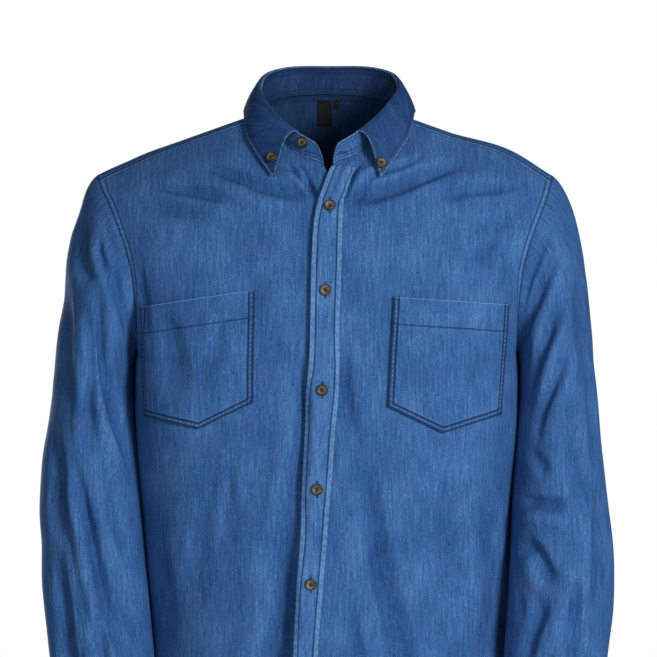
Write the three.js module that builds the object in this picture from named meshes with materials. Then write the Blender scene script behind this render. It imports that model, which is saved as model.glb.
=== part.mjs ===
// A denim shirt, filled out as it is worn. Millimetres, Z up, front towards -Y.
// Left and right are the wearer's, so the wearer's left is at +X.
import * as THREE from 'three'

// Cloth and seams
const wall = 1.2
const seam = 0.3
const layer = wall + seam
const cuffWall = 1.6

// Buttons
const buttonRadius = 6.2
const buttonHeight = 2.2
const buttonSides = 12
const curvedLift = 0.9

// The button band and the two front edges
const bandTop = -58
const bandBottom = -770

// The button band's far edge: z, x
const bandFar = [
  [-780, -12.5], [-600, -11], [-490, -3.2], [-386, 5.4], [-295, 11], [-190, 14.5], [-100, 17.5],
  [-78, 21.5], [-58, 28],
]
const frontButtons = [-99.5, -188.5, -292.5, -396, -495, -597, -700]

// Front sections start slower than they end, for closer points at the button band
const startPace = 0.62

// How finely the pieces are divided
const grid = {
  across: 16, low: 13, middle: 8, top: 5, backHigh: 9,
  yokeNeck: 6, yokeWing: 8, yokeDeep: 4, cap: 7, arm: 11, leaf: 6, stand: 3,
  pocket: 11, band: 38, bandWide: 4, cuff: 26,
}

// Side seam from hem to underarm: x, y, z
const sideSeam = [
  [199, 8, -705], [195, 9, -640], [192.5, 10, -560], [197.5, 11, -480],
  [200.5, 7, -400], [202.5, 3, -335], [204, 2.5, -292], [208, 3, -262],
]
const underarm = sideSeam.length - 1

// Front half of the armhole, on from the underarm: x, y, z
const frontArmhole = [
  [208, 3, -262], [204, -22, -255], [203.5, -45, -240], [204, -68, -204], [208, -76, -168],
  [215, -74, -142], [219, -70.5, -131], [223, -66, -120], [231, -54, -101], [238, -38, -84],
  [243, -20, -69],
]

// Back half of the armhole, on from the underarm: x, y, z
const backArmhole = [
  [208, 3, -262], [204, 26, -254], [203, 50, -236], [205, 66, -202], [210, 70, -165],
  [219, 64, -130], [231, 52, -97],
]

// Front sections from hem to shoulder: edge of the over front, edge of the under front, y and z of
// both, then the curve's pull at the start (x, y, z) and at the side (x, y, z)
const frontRows = [
  [-38, -11, -118, -778, 120, 0, 0, 2, -84, -40],
  [-38, -11, -119, -700, 120, 0, 0, 2, -84, -12],
  [-36, -8.5, -122, -600, 122, 0, 0, 1, -84, -5],
  [-30.5, -3, -127, -500, 128, 0, 0, 1, -86, 0],
  [-26, 2.5, -130, -412, 142, 0, 0, 3, -97, 0],
  [-22.5, 6.5, -132, -342, 158, 0, 0, 6, -112, 0],
  [-20.8, 8.5, -132, -300, 165, 0, 0, 4, -114, 0],
  [-19.7, 9.5, -131.5, -272, 166, 0, 0, -2, -108, 0],
  [-18.9, 10, -130.5, -250, 160, 0, 0, -1, -88, 2],
  [-18.2, 10.5, -129, -222, 150, 0, -2, -2, -64, 4],
  [-17.6, 11, -125, -183, 135, 0, -5, -12, -42, 8],
  [-16.3, 12, -118, -145, 118, -2, -10, -28, -30, 10],
  [-13.6, 11, -108, -110, 100, -4, -14, -38, -26, 11],
  [-5.5, 4.5, -98, -82, 88, -6, -17, -41, -25, 11],
  [6.5, -4, -86, -55, 75, -9, -20, -44, -23, 10],
  [30, -30, -73, -44, 60, -13, -19, -45, -21, 10],
  [56, -56, -51, -22, 48, -12, -20, -44, -18, 14],
  [76.5, -76.5, -18, 1, 52, -1, -19, -36, 1, 17],
]
const neckStart = 14

// Back sections from hem to yoke: y and z at the middle, pull there (x), pull at the side (x, y, z)
const backRows = [
  [105, -780, 120, 2, 66, -40], [103, -700, 120, 2, 66, -12], [100, -600, 118, 2, 64, -5],
  [96, -500, 118, 1, 62, 0], [97, -410, 122, 0, 64, 0], [105, -342, 125, 0, 70, 0],
  [110, -300, 126, 0, 74, 0], [113, -270, 126, -1, 70, 0], [115, -248, 126, -2, 52, 2],
  [118, -225, 124, -12, 40, 3], [121, -190, 120, -30, 30, 4], [121, -155, 116, -40, 28, 6],
  [115, -112, 112, -48, 28, 6], [105, -72, 100, -31, 24, 7],
]

// Yoke columns from the middle of the back to the shoulder tip: the point on the back seam, two
// pulls and the point on the neckline or front seam, each x, y, z
const yokeColumns = [
  [0, 105, -72, 0, 101, -35, 0, 80, 5, 0, 64, 31],
  [42, 104, -73, 42, 99, -38, 44, 76, 0, 40, 58, 28],
  [68, 103, -75, 70, 98, -40, 76, 58, -5, 69, 33, 18],
  [84, 102, -76, 86, 94, -40, 87, 37, 3, 79.5, 6, 6.5],
  [100, 100, -77, 101, 88, -35, 92, 22, 13, 76.5, -18, 1],
  [160, 92, -82, 161, 78, -34, 160, 22, -13, 160, -19, -30],
  [200, 76, -90, 203, 66, -50, 206, 18, -28, 204, -20, -48],
  [231, 52, -97, 239, 38, -72, 249, 8, -51, 243, -20, -69],
]
const yokeCorner = 4

// Sleeve sections below the underarm: z, centre x, centre y, half width, half depth
const sleeveRows = {
  right: [
    [-300, 252, -8, 44.5, 76], [-350, 253.5, -14, 49.5, 71], [-415, 254.2, -24, 53.2, 65],
    [-470, 251.7, -32, 54.3, 62], [-524, 246.2, -40, 55.2, 60], [-585, 239, -50, 54.5, 58],
    [-628, 236, -56, 52, 53], [-650, 234, -59, 42, 42],
  ],
  left: [
    [-300, 249.8, -8, 42.2, 76], [-350, 250, -14, 46.5, 71], [-415, 251.2, -24, 51.7, 65],
    [-470, 252.8, -32, 54.8, 62], [-524, 251.5, -40, 55.5, 60], [-585, 244.8, -50, 54.8, 58],
    [-628, 241, -56, 52, 53], [-650, 239, -59, 42, 42],
  ],
}

// Sleeve cap: how the cloth leaves the armhole, and how it comes down on the first section
const capOut = 0.8
const capRound = 0.35
const capDown = 0.6
const capStart = 0.18
const capEnd = 0.4
const capLean = 0.08

// Cuffs: height, how far they taper and lap
const cuffTop = -649.9
const cuffBottom = -716
const cuffTaper = 1.5
const cuffOver = 0.3
const cuffLap = 0.1
const cuffFrom = 0.66

// Collar by share of the way from stand end to middle back: share, top of the stand x, y, z
const standRows = [
  [0, 7.5, -85, -34], [0.105, 25, -80, -24], [0.17, 35, -74.5, -17.5], [0.268, 54, -53, 0],
  [0.45, 71, -18, 24], [0.55, 74.5, 6, 35], [0.68, 68, 32, 50], [0.837, 42, 54, 59], [1, 0, 58, 60],
]

// The top of the collar leans this far towards the wearer's left
const collarLean = 3

// Outer edge of the leaf by the same share: share, x, y, z
const leafRows = [
  [0.17, 57, -96, -69], [0.24, 75, -74, -43], [0.34, 87, -49, -22], [0.5, 93, -9, 5],
  [0.6, 93, 24, 8], [0.72, 80, 52, 11], [0.86, 46, 73, 15], [1, 0, 79, 17],
]
const leafFirst = 2
const leafRise = 7
const leafRoll = 7

// Folds seen on the fronts: from x, z to x, z, sideways bow, half width, depth inwards
const frontFolds = [
  [-169, -47, -2, -88, 6, 15, 4], [-226, -66, -80, -94, 3, 13, 2.5],
  [154, -44, 3, -90, -6, 16, 5], [227, -71, 107, -84, 2, 13, 2.5],
  [-28, -262, -36, -460, -6, 17, 5], [-31, -430, -84, -720, -8, 22, 6],
  [14, -230, 30, -380, 4, 16, 3], [26, -344, 92, -690, -6, 22, 5],
  [-169, -188, -153, -290, 4, 18, 3], [-117, -334, -150, -520, -4, 22, 3.5],
  [120, -350, 150, -560, 5, 24, 3],
]

// Soft folds on the back, in the same columns
const backFolds = [
  [-60, -110, -88, -420, 6, 26, 4], [64, -120, 96, -400, -6, 28, 4],
  [-20, -330, -46, -640, 4, 26, 3.5], [28, -380, 60, -690, -5, 26, 4],
  [-150, -260, -120, -520, 8, 26, 4], [148, -280, 126, -560, -8, 24, 3.5],
]

// Folds on the sleeves, seen from the front; the same ones run on behind
const sleeveFolds = {
  right: [
    [-237, -110, -216, -170, 4, 15, 4], [-262, -130, -246, -280, 5, 16, 4],
    [-250, -210, -222, -350, 4, 16, 5], [-242, -395, -200, -510, 5, 16, 4.5],
    [-286, -400, -262, -560, 5, 20, 4],
  ],
  left: [
    [204, -215, 240, -130, -4, 15, 4], [206, -290, 258, -175, -4, 16, 5],
    [222, -430, 280, -440, 5, 14, 5], [222, -470, 250, -530, 5, 16, 5],
    [270, -300, 276, -420, 4, 18, 4], [216, -590, 244, -520, 4, 16, 4],
  ],
}

// Pockets: inner top, outer top, outer bottom, point, inner bottom, each x, z
const pocketCorners = {
  right: [[-75, -188.5], [-196, -205.5], [-191.5, -320.8], [-133.7, -333.6], [-77, -305.7]],
  left: [[69.4, -195.7], [191, -203], [182, -318.9], [120.6, -337.8], [62.7, -309.9]],
}

const denim = [0.05, 0.13, 0.33]
const horn = [0.16, 0.09, 0.05]
const dark = [0.02, 0.02, 0.03]

// Small helpers
const point = (x, y, z) => new THREE.Vector3(x, y, z)
const mix = (a, b, t) => a + (b - a) * t
const clamp = (t) => Math.min(Math.max(t, 0), 1)
const ease = (t) => clamp(t) ** 2 * (3 - 2 * clamp(t))
const steps = (n) => Array.from({ length: n + 1 }, (_, i) => i / n)

function spline(a, b, c, d, t) {
  return 0.5 * (2 * b + (c - a) * t + (2 * a - 5 * b + 4 * c - d) * t * t
    + (3 * b - a - 3 * c + d) * t * t * t)
}

// A table read at any place between its rows, 0 at the first row
function read(table, at) {
  const last = table.length - 1
  const i = Math.min(Math.max(Math.floor(at), 0), last - 1)
  const rows = [Math.max(i - 1, 0), i, i + 1, Math.min(i + 2, last)].map((k) => table[k])
  return rows[1].map((_, k) => spline(...rows.map((row) => row[k]), at - i))
}

// A table read by the value in its first column
function lookUp(table, value) {
  let i = 0
  while (i < table.length - 2 && table[i + 1][0] < value) i += 1
  const t = clamp((value - table[i][0]) / (table[i + 1][0] - table[i][0]))
  return read(table, i + t).slice(1)
}

function bezier(a, b, c, d, t) {
  const s = 1 - t
  return point(0, 0, 0)
    .addScaledVector(a, s * s * s)
    .addScaledVector(b, 3 * s * s * t)
    .addScaledVector(c, 3 * s * t * t)
    .addScaledVector(d, t * t * t)
}

// The outer end of a section: the side seam below the underarm, the armhole above it
function sideEnd(armhole, side, at) {
  const row = at <= underarm ? read(sideSeam, at) : read(armhole, at - underarm)
  return point(side * row[0], row[1], row[2])
}

// The yoke's column at u, 0 at the middle and 1 at the shoulder tip, t from back to front
function yokePoint(side, column, t) {
  const c = read(yokeColumns, column)
  const at = (k) => point(side * c[k], c[k + 1], c[k + 2])
  return bezier(at(0), at(3), at(6), at(9), t)
}

function frontPoint(side, u, at) {
  const [over, under, y, z, ax, ay, az, bx, by, bz] = read(frontRows, at)
  const start = point(side > 0 ? over : under, y, z)
  const end = sideEnd(frontArmhole, side, at)
  const out = start.clone().add(point(side * ax, ay, az))
  const back = end.clone().add(point(side * bx, by, bz))
  return bezier(start, out, back, end, u * mix(startPace, 1, u))
}

function backPoint(side, u, at) {
  const [y, z, ax, bx, by, bz] = read(backRows, at)
  const end = sideEnd(backArmhole, side, at)
  const back = end.clone().add(point(side * bx, by, bz))
  return bezier(point(0, y, z), point(side * ax, y, z), back, end, u)
}

// Rows of points: low ones up to the underarm, then the ones above it
function places(last, counts, marks) {
  const list = []
  marks.slice(1).forEach((mark, k) => {
    for (let i = 0; i < counts[k]; i += 1) list.push(mix(marks[k], mark, i / counts[k]))
  })
  return [...list, last]
}

const frontLast = frontRows.length - 1
const backLast = backRows.length - 1
const yokeLast = yokeColumns.length - 1
const frontPlaces = places(frontLast, [grid.low, grid.middle, grid.top],
  [0, underarm, neckStart, frontLast])
const backPlaces = places(backLast, [grid.low, grid.backHigh], [0, underarm, backLast])
const yokePlaces = places(yokeLast, [grid.yokeNeck, grid.yokeWing], [0, yokeCorner, yokeLast])

// The yoke's front seam, straight between its points
function yokeEdge(side, u) {
  const at = u * grid.yokeWing
  const k = Math.min(Math.floor(at), grid.yokeWing - 1)
  const a = yokePoint(side, yokePlaces[grid.yokeNeck + k], 1)
  return a.lerp(yokePoint(side, yokePlaces[grid.yokeNeck + k + 1], 1), at - k)
}

// The top of a front follows the yoke's front seam, the top of the back its back seam
function frontGrid(side) {
  return frontPlaces.map((at) => steps(grid.across).map((u) => {
    const p = frontPoint(side, u, at)
    const pull = ease(at - frontLast + 1)
    const seamPoint = yokeEdge(side, u)
    return p.add(seamPoint.sub(frontPoint(side, u, frontLast)).multiplyScalar(pull))
  }))
}

function backHalf(side, at) {
  return yokePlaces.map((column) => {
    const u = column / yokeLast
    const p = backPoint(side, u, at)
    const pull = ease(at - backLast + 1)
    const seamPoint = yokePoint(side, column, 0)
    return p.add(seamPoint.sub(backPoint(side, u, backLast)).multiplyScalar(pull))
  })
}

function backGrid() {
  return backPlaces.map((at) => {
    const right = backHalf(-1, at).reverse()
    return [...right, ...backHalf(1, at).slice(1)].reverse()
  })
}

function yokeGrid() {
  return steps(grid.yokeDeep).map((t) => {
    const left = yokePlaces.map((column) => yokePoint(1, column, t))
    const right = yokePlaces.map((column) => yokePoint(-1, column, t)).reverse()
    return [...right, ...left.slice(1)].reverse()
  })
}

// The closed line of the armhole: up the front, over the yoke's end, down the back
function armholeLine(side) {
  const front = frontPlaces.filter((at) => at >= underarm).map((at) => sideEnd(frontArmhole, side, at))
  front.pop()
  const top = steps(grid.yokeDeep).map((t) => yokePoint(side, yokeLast, 1 - t))
  const back = backPlaces.filter((at) => at >= underarm).map((at) => sideEnd(backArmhole, side, at))
  return [...front, ...top, ...back.slice(0, -1).reverse().slice(0, -1)]
}

function shares(line) {
  const far = [0]
  line.forEach((p, k) => far.push(far[k] + p.distanceTo(line[(k + 1) % line.length])))
  return far.slice(0, -1).map((d) => d / far[line.length])
}

function ringPoint(side, row, share) {
  const angle = 2 * Math.PI * share
  return point(side * (row[1] - row[3] * Math.cos(angle)), row[2] - row[4] * Math.sin(angle), row[0])
}

function sleeveGrid(side, rows) {
  const line = armholeLine(side)
  const share = shares(line)
  const down = steps(grid.cap).map((t) => line.map((p, k) => {
    const end = ringPoint(side, rows[0], share[k])
    const far = p.distanceTo(end)
    const outwards = 0.5 - 0.5 * Math.cos(2 * Math.PI * share[k])
    const leave = point(side * capOut * mix(0.8, 1, outwards),
      -capRound * Math.sin(2 * Math.PI * share[k]), -capDown).normalize()
    const start = p.clone().addScaledVector(leave, far * capStart)
    const land = end.clone().add(point(-side * capLean * outwards, 0, 1).multiplyScalar(far * capEnd))
    return bezier(p, start, land, end, t)
  }))
  const arm = steps(grid.arm).slice(1).map((t) => {
    const row = read(rows, t * (rows.length - 1))
    return share.map((s) => ringPoint(side, row, s))
  })
  return [...down, ...arm]
}

// Folds push the cloth inwards along soft troughs that fade out at both ends
function foldDepth(folds, x, z) {
  let depth = 0
  for (const [x0, z0, x1, z1, bow, half, deep] of folds) {
    const run = point(x1 - x0, 0, z1 - z0)
    const length = run.length()
    const t = ((x - x0) * run.x + (z - z0) * run.z) / length ** 2
    const away = ((x - x0) * run.z - (z - z0) * run.x) / length - bow * 4 * t * (1 - t)
    const across = Math.abs(away) / half
    if (across < 1 && t > 0 && t < 1) {
      depth += deep * (1 - across * across) ** 2 * ease(4 * t) * ease(4 * (1 - t))
    }
  }
  return depth
}

// The outward direction at each point of a sheet, from the cells around it
function outward(sheet) {
  const { rows, closed, side } = sheet
  const last = rows[0].length
  const pick = (i, j) => {
    const k = closed ? (j + last) % last : Math.min(Math.max(j, 0), last - 1)
    return rows[Math.min(Math.max(i, 0), rows.length - 1)][k]
  }
  return rows.map((row, i) => row.map((_, j) => {
    const along = pick(i, j + 1).clone().sub(pick(i, j - 1))
    const up = pick(i + 1, j).clone().sub(pick(i - 1, j))
    return along.cross(up).multiplyScalar(side).normalize()
  }))
}

// Points that two sheets share get the mean of their directions, so seams close without a step
const keyOffset = 0.137
const key = (p) => [p.x, p.y, p.z].map((v) => Math.round(v * 50 + keyOffset)).join(' ')

function weld(sheets) {
  const sums = new Map()
  sheets.forEach((sheet) => {
    sheet.own = outward(sheet)
    sheet.rows.forEach((row, i) => row.forEach((p, j) => {
      const sum = sums.get(key(p)) ?? point(0, 0, 0)
      sums.set(key(p), sum.add(sheet.own[i][j]))
    }))
  })
  sheets.forEach((sheet) => {
    sheet.out = sheet.rows.map((row) => row.map((p) => sums.get(key(p)).clone().normalize()))
  })
}

function push(sheet, amount) {
  sheet.rows = sheet.rows.map((row, i) => row.map((p, j) => (
    p.clone().addScaledVector(sheet.out[i][j], amount(p, i, j, sheet.out[i][j])))))
}

// The edge of a sheet drawn back by half a seam, square to the edge
function drawn(sheet) {
  const { rows, closed } = sheet
  const high = rows.length - 1
  const wide = rows[0].length - 1
  const back = rows.map((row) => row.map(() => point(0, 0, 0)))
  const pull = (i, j, di, dj, a, b) => {
    const edge = a.clone().sub(b).normalize()
    const inner = rows[i + di][j + dj].clone().sub(rows[i][j])
    inner.addScaledVector(edge, -inner.dot(edge)).normalize()
    back[i][j].addScaledVector(inner, seam / 2 + 0.05)
  }
  for (let j = 0; j <= wide; j += 1) {
    const before = closed ? (j + wide) % (wide + 1) : Math.max(j - 1, 0)
    const after = closed ? (j + 1) % (wide + 1) : Math.min(j + 1, wide)
    pull(0, j, 1, 0, rows[0][after], rows[0][before])
    pull(high, j, -1, 0, rows[high][after], rows[high][before])
  }
  for (let i = 0; i <= high && !closed; i += 1) {
    const before = Math.max(i - 1, 0)
    const after = Math.min(i + 1, high)
    pull(i, 0, 0, 1, rows[after][0], rows[before][0])
    pull(i, wide, 0, -1, rows[after][wide], rows[before][wide])
  }
  return back
}

// A sheet turned into a wall of cloth: outer points, inner points and the edges between them
function cloth(name, sheet, colour = denim, thick = wall) {
  const { rows, closed, side } = sheet
  const back = drawn(sheet)
  const high = rows.length
  const wide = rows[0].length
  const outer = rows.map((row, i) => row.map((p, j) => p.clone().add(back[i][j])))
  const inner = outer.map((row, i) => row.map((p, j) => {
    const slant = Math.max(sheet.out[i][j].dot(sheet.own[i][j]), 0.7)
    return p.clone().addScaledVector(sheet.out[i][j], -thick / slant)
  }))
  const points = [...outer.flat(), ...inner.flat()]
  const at = (face, i, j) => face * high * wide + i * wide + (closed ? j % wide : j)
  const index = []
  const quad = (a, b, c, d) => index.push(...(side > 0 ? [a, b, c, a, c, d] : [a, c, b, a, d, c]))
  const columns = closed ? wide : wide - 1
  for (let i = 0; i < high - 1; i += 1) {
    for (let j = 0; j < columns; j += 1) {
      quad(at(0, i, j), at(0, i, j + 1), at(0, i + 1, j + 1), at(0, i + 1, j))
      quad(at(1, i, j), at(1, i + 1, j), at(1, i + 1, j + 1), at(1, i, j + 1))
    }
  }
  for (let j = 0; j < columns; j += 1) {
    quad(at(0, 0, j + 1), at(0, 0, j), at(1, 0, j), at(1, 0, j + 1))
    quad(at(0, high - 1, j), at(0, high - 1, j + 1), at(1, high - 1, j + 1), at(1, high - 1, j))
  }
  for (let i = 0; i < high - 1 && !closed; i += 1) {
    quad(at(0, i, 0), at(0, i + 1, 0), at(1, i + 1, 0), at(1, i, 0))
    quad(at(0, i + 1, wide - 1), at(0, i, wide - 1), at(1, i, wide - 1), at(1, i + 1, wide - 1))
  }
  return solid(name, points, index, colour)
}

function solid(name, points, index, colour) {
  const shape = new THREE.BufferGeometry()
  shape.setAttribute('position', new THREE.Float32BufferAttribute(points.flatMap((p) => p.toArray()), 3))
  shape.setIndex(index)
  shape.computeVertexNormals()
  const look = new THREE.MeshStandardMaterial({ color: new THREE.Color(...colour), roughness: 0.8 })
  const mesh = new THREE.Mesh(shape, look)
  mesh.name = name
  return mesh
}

// Where a sheet lies at x, z, seen from the front: the point and its outward direction
function touch(sheet, x, z) {
  let best = null
  const corners = [[0, 0], [0, 1], [1, 0], [0, 1], [1, 1], [1, 0]]
  for (let i = 0; i < sheet.rows.length - 1; i += 1) {
    for (let j = 0; j < sheet.rows[0].length - 1; j += 1) {
      for (const half of [corners.slice(0, 3), corners.slice(3)]) {
        const [a, b, c] = half.map(([di, dj]) => sheet.rows[i + di][j + dj])
        const area = (b.x - a.x) * (c.z - a.z) - (c.x - a.x) * (b.z - a.z)
        const v = ((x - a.x) * (c.z - a.z) - (c.x - a.x) * (z - a.z)) / area
        const w = ((b.x - a.x) * (z - a.z) - (x - a.x) * (b.z - a.z)) / area
        const miss = -Math.min(v, w, 1 - v - w)
        if (best && miss >= best.miss) continue
        const share = [1 - v - w, v, w]
        best = { miss, share, at: half.map(([di, dj]) => [i + di, j + dj]) }
      }
    }
  }
  const sum = (table) => best.at.reduce((total, [i, j], k) => (
    total.addScaledVector(table[i][j], best.share[k])), point(0, 0, 0))
  return { p: sum(sheet.rows), out: sum(sheet.out).normalize() }
}

// A piece laid on a sheet, over a table of x, z places
function laid(sheet, spots, lift, side) {
  const found = spots.map((row) => row.map(([x, z]) => touch(sheet, x, z)))
  const rows = found.map((row) => row.map(({ p, out }) => p.clone().addScaledVector(out, lift)))
  const piece = { rows, side, closed: false }
  piece.own = outward(piece)
  piece.out = found.map((row) => row.map(({ out }) => out))
  return piece
}

// Body of the shirt
const frontRight = { rows: frontGrid(-1), side: -1, closed: false }
const frontLeft = { rows: frontGrid(1), side: 1, closed: false }
const back = { rows: backGrid(), side: 1, closed: false }
const yoke = { rows: yokeGrid(), side: 1, closed: false }
const sleeveRight = { rows: sleeveGrid(-1, sleeveRows.right), side: 1, closed: true }
const sleeveLeft = { rows: sleeveGrid(1, sleeveRows.left), side: -1, closed: true }
const body = [frontRight, frontLeft, back, yoke, sleeveRight, sleeveLeft]

// Local nudges of the shoulders, which aren't quite alike: centre x, z, reach, move x, z
const nudges = [[190, -35, 62, 0, 4.5], [-250, -62, 45, -4, 1]]
body.forEach(({ rows }) => new Set(rows.flat()).forEach((p) => {
  const { x, z } = p
  for (const [cx, cz, reach, dx, dz] of nudges) {
    const weight = Math.max(1 - ((x - cx) ** 2 + (z - cz) ** 2) / reach ** 2, 0) ** 2
    p.x += dx * weight
    p.z += dz * weight
  }
}))

weld(body)
const fadeIn = (i, sheet) => ease(3 * (sheet.rows.length - 1 - i) / (sheet.rows.length - 1))
const fadeSide = (share) => ease(6 * share)
for (const sheet of [frontRight, frontLeft]) {
  push(sheet, (p, i, j) => -foldDepth(frontFolds, p.x, p.z)
    * fadeSide(1 - j / grid.across) * ease(4 * (sheet.rows.length - 1 - i) / sheet.rows.length))
}
push(back, (p, i, j) => -foldDepth(backFolds, p.x, p.z)
  * fadeSide(1 - Math.abs(2 * j / (back.rows[0].length - 1) - 1)) * fadeIn(i, back))
for (const [sheet, folds] of [[sleeveRight, sleeveFolds.right], [sleeveLeft, sleeveFolds.left]]) {
  push(sheet, (p, i) => -foldDepth(folds, p.x, p.z) * ease(i / 3) * fadeIn(i, sheet))
}
weld(body)

// The under front's edge goes behind the over front
const neckRow = frontPlaces.indexOf(neckStart)
const tuckDeep = 3.8
const tuckWide = 60
frontRight.rows.slice(0, neckRow).forEach((row) => row.forEach((p) => {
  p.y += tuckDeep * ease((p.x - row[0].x + tuckWide) / (tuckWide * 0.4))
}))

// Neckline from the over front's end round the back to the under front's end
const neckOf = (front) => front.rows.slice(neckRow).map((row) => row[0])
const yokeNeck = yoke.rows[grid.yokeDeep].slice(grid.yokeWing, grid.yokeWing + 2 * grid.yokeNeck + 1)
const neckline = [...neckOf(frontLeft), ...yokeNeck.slice(1, -1), ...neckOf(frontRight).reverse()]
const middle = (neckline.length - 1) / 2
const neckShare = (() => {
  const far = [0]
  neckline.slice(1).forEach((p, k) => far.push(far[k] + p.distanceTo(neckline[k])))
  return far.map((d) => 1 - Math.abs(2 * d / far[far.length - 1] - 1))
})()
const sideOf = (k) => (k <= middle ? 1 : -1)

function collarPoint(table, k) {
  const [x, y, z] = lookUp(table, neckShare[k])
  return point(sideOf(k) * x + collarLean * ease(2 * neckShare[k] - 0.3), y, z)
}

const standRowsOut = steps(grid.stand).map((t) => neckline.map((p, k) => (
  p.clone().lerp(collarPoint(standRows, k), t).add(point(0, 0, mix(0.35, 0, t))))))
const stand = { rows: standRowsOut, side: 1, closed: false }

function leafColumn(k) {
  const top = collarPoint(standRows, k).add(point(0, 0, seam))
  const end = collarPoint(leafRows, k)
  const away = point(end.x - top.x, end.y - top.y, 0).normalize()
  const start = top.clone().add(point(0, 0, leafRise)).addScaledVector(away, 0.5)
  const turn = top.clone().lerp(end, 0.25).addScaledVector(away, leafRoll)
  turn.z += leafRise * 0.9
  return steps(grid.leaf).map((t) => bezier(top, start, turn, end, t))
}

const leafColumns = neckline.map((_, k) => leafColumn(k)).slice(leafFirst, -leafFirst)
const leaf = {
  rows: steps(grid.leaf).map((_, i) => leafColumns.map((column) => column[i])),
  side: -1,
  closed: false,
}
weld([stand])
weld([leaf])

// Pockets and button band lie on the fronts, lifted clear of the bends in the cloth below
const pocketLift = 1.7
const bandLift = 1.3
function pocketSpots([innerTop, outerTop, outerLow, tip, innerLow]) {
  return steps(grid.pocket).map((v) => steps(grid.pocket).map((u) => {
    const low = u < 0.5
      ? innerLow.map((a, k) => mix(a, tip[k], 2 * u))
      : tip.map((a, k) => mix(a, outerLow[k], 2 * u - 1))
    return innerTop.map((a, k) => mix(low[k], mix(a, outerTop[k], u), v))
  }))
}

const bandInset = 0.5
const bandEdge = frontLeft.rows.map((row) => [row[0].z, row[0].x])
const bandSpots = steps(grid.band).map((v) => {
  const z = mix(bandBottom, bandTop, v)
  const [near] = lookUp(bandEdge, z)
  const [far] = lookUp(bandFar, z)
  return steps(grid.bandWide).map((u) => [mix(near + bandInset, far, u), z])
})

const place = (sheet, side, spots, lift) => laid(sheet, spots, lift, side)
const pocketRight = place(frontRight, -1, pocketSpots(pocketCorners.right), layer + pocketLift)
const pocketLeft = place(frontLeft, 1, pocketSpots(pocketCorners.left), layer + pocketLift)
const band = place(frontLeft, 1, bandSpots, layer + bandLift)

// Cuffs lap over themselves on the outer back side
function cuffSheet(side, rows) {
  const [, x, y, half] = rows[rows.length - 1]
  const turn = steps(grid.cuff)
  const ring = (t) => turn.map((s) => {
    const share = cuffFrom + s * (1 + cuffLap)
    const lap = (cuffWall + seam + 0.2) * ease((s - 0.5) / (0.5 - cuffLap))
    const radius = half + cuffOver + lap - cuffTaper * (1 - t)
    return ringPoint(side, [mix(cuffBottom, cuffTop, t), x, y, radius, radius], share)
  })
  return { rows: steps(2).map(ring), side, closed: false }
}

const cuffRight = cuffSheet(-1, sleeveRows.right)
const cuffLeft = cuffSheet(1, sleeveRows.left)
weld([cuffRight])
weld([cuffLeft])

// Slit strips on the sleeves, above the cuff's lap
const slitWide = 1
const slitRows = 5
function slitStrip(sheet) {
  const wide = sheet.rows[0].length
  const share = sheet.rows[0].map((_, j) => j / wide)
  const from = share.findIndex((s) => s > 0.68)
  const last = sheet.rows.length - 1
  const pickRows = sheet.rows.slice(last - slitRows, last).map((_, i) => last - slitRows + i)
  const rows = pickRows.map((i) => [0, slitWide].map((d) => (
    sheet.rows[i][from + d].clone().addScaledVector(sheet.out[i][from + d], layer))))
  const strip = { rows, side: sheet.side, closed: false }
  strip.own = outward(strip)
  strip.out = pickRows.map((i) => [0, slitWide].map((d) => sheet.out[i][from + d]))
  return strip
}

// Buttons: a disc with a rim, sunk in the middle
function button(name, centre, out, lift = seam) {
  const profile = [[0, 0], [buttonRadius, 0], [buttonRadius, 1.7], [5.2, buttonHeight], [0, 1.6]]
  const shape = new THREE.LatheGeometry(profile.map(([r, h]) => new THREE.Vector2(r, h)), buttonSides)
  const turn = new THREE.Quaternion().setFromUnitVectors(point(0, 1, 0), out)
  shape.applyQuaternion(turn)
  shape.translate(...centre.clone().addScaledVector(out, lift).toArray())
  const look = new THREE.MeshStandardMaterial({ color: new THREE.Color(...horn), roughness: 0.35 })
  const mesh = new THREE.Mesh(shape, look)
  mesh.name = name
  return mesh
}

const buttons = frontButtons.map((z, k) => {
  const [near] = lookUp(bandEdge, z)
  const [far] = lookUp(bandFar, z)
  const { p, out } = touch(band, (near + far) / 2, z)
  return button(`button_front_${k + 1}`, p, out)
})

const onSheet = (name, sheet, x, z) => {
  const { p, out } = touch(sheet, x, z)
  return button(name, p, out, curvedLift)
}

const cuffButtonColumn = grid.cuff - 2
const onCuff = (name, cuff) => (
  button(name, cuff.rows[1][cuffButtonColumn], cuff.out[1][cuffButtonColumn], curvedLift))

const standEnd = { rows: stand.rows.map((row) => row.slice(-4)), out: stand.out.map((row) => row.slice(-4)) }
const leafEnd = (from, to) => ({
  rows: leaf.rows.map((row) => row.slice(from, to)),
  out: leaf.out.map((row) => row.slice(from, to)),
})

// Label and size tab on the inner side of the yoke, bare
const labelWall = 0.6
function innerPatch(x0, x1, z0, z1) {
  const inside = { rows: yoke.rows.map((row) => row.slice(grid.yokeWing, -grid.yokeWing)) }
  inside.out = yoke.out.map((row) => row.slice(grid.yokeWing, -grid.yokeWing))
  const spots = steps(4).map((v) => steps(2).map((u) => [mix(x0, x1, u), mix(z0, z1, v)]))
  const piece = laid(inside, spots, -(wall + seam), 1)
  piece.rows = piece.rows.map((row) => row.slice().reverse())
  piece.out = piece.out.map((row) => row.slice().reverse())
  piece.own = outward(piece)
  return piece
}
const label = innerPatch(-11, 5.5, -3, 26)
const tab = innerPatch(7, 14.5, 16, 26)

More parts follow.
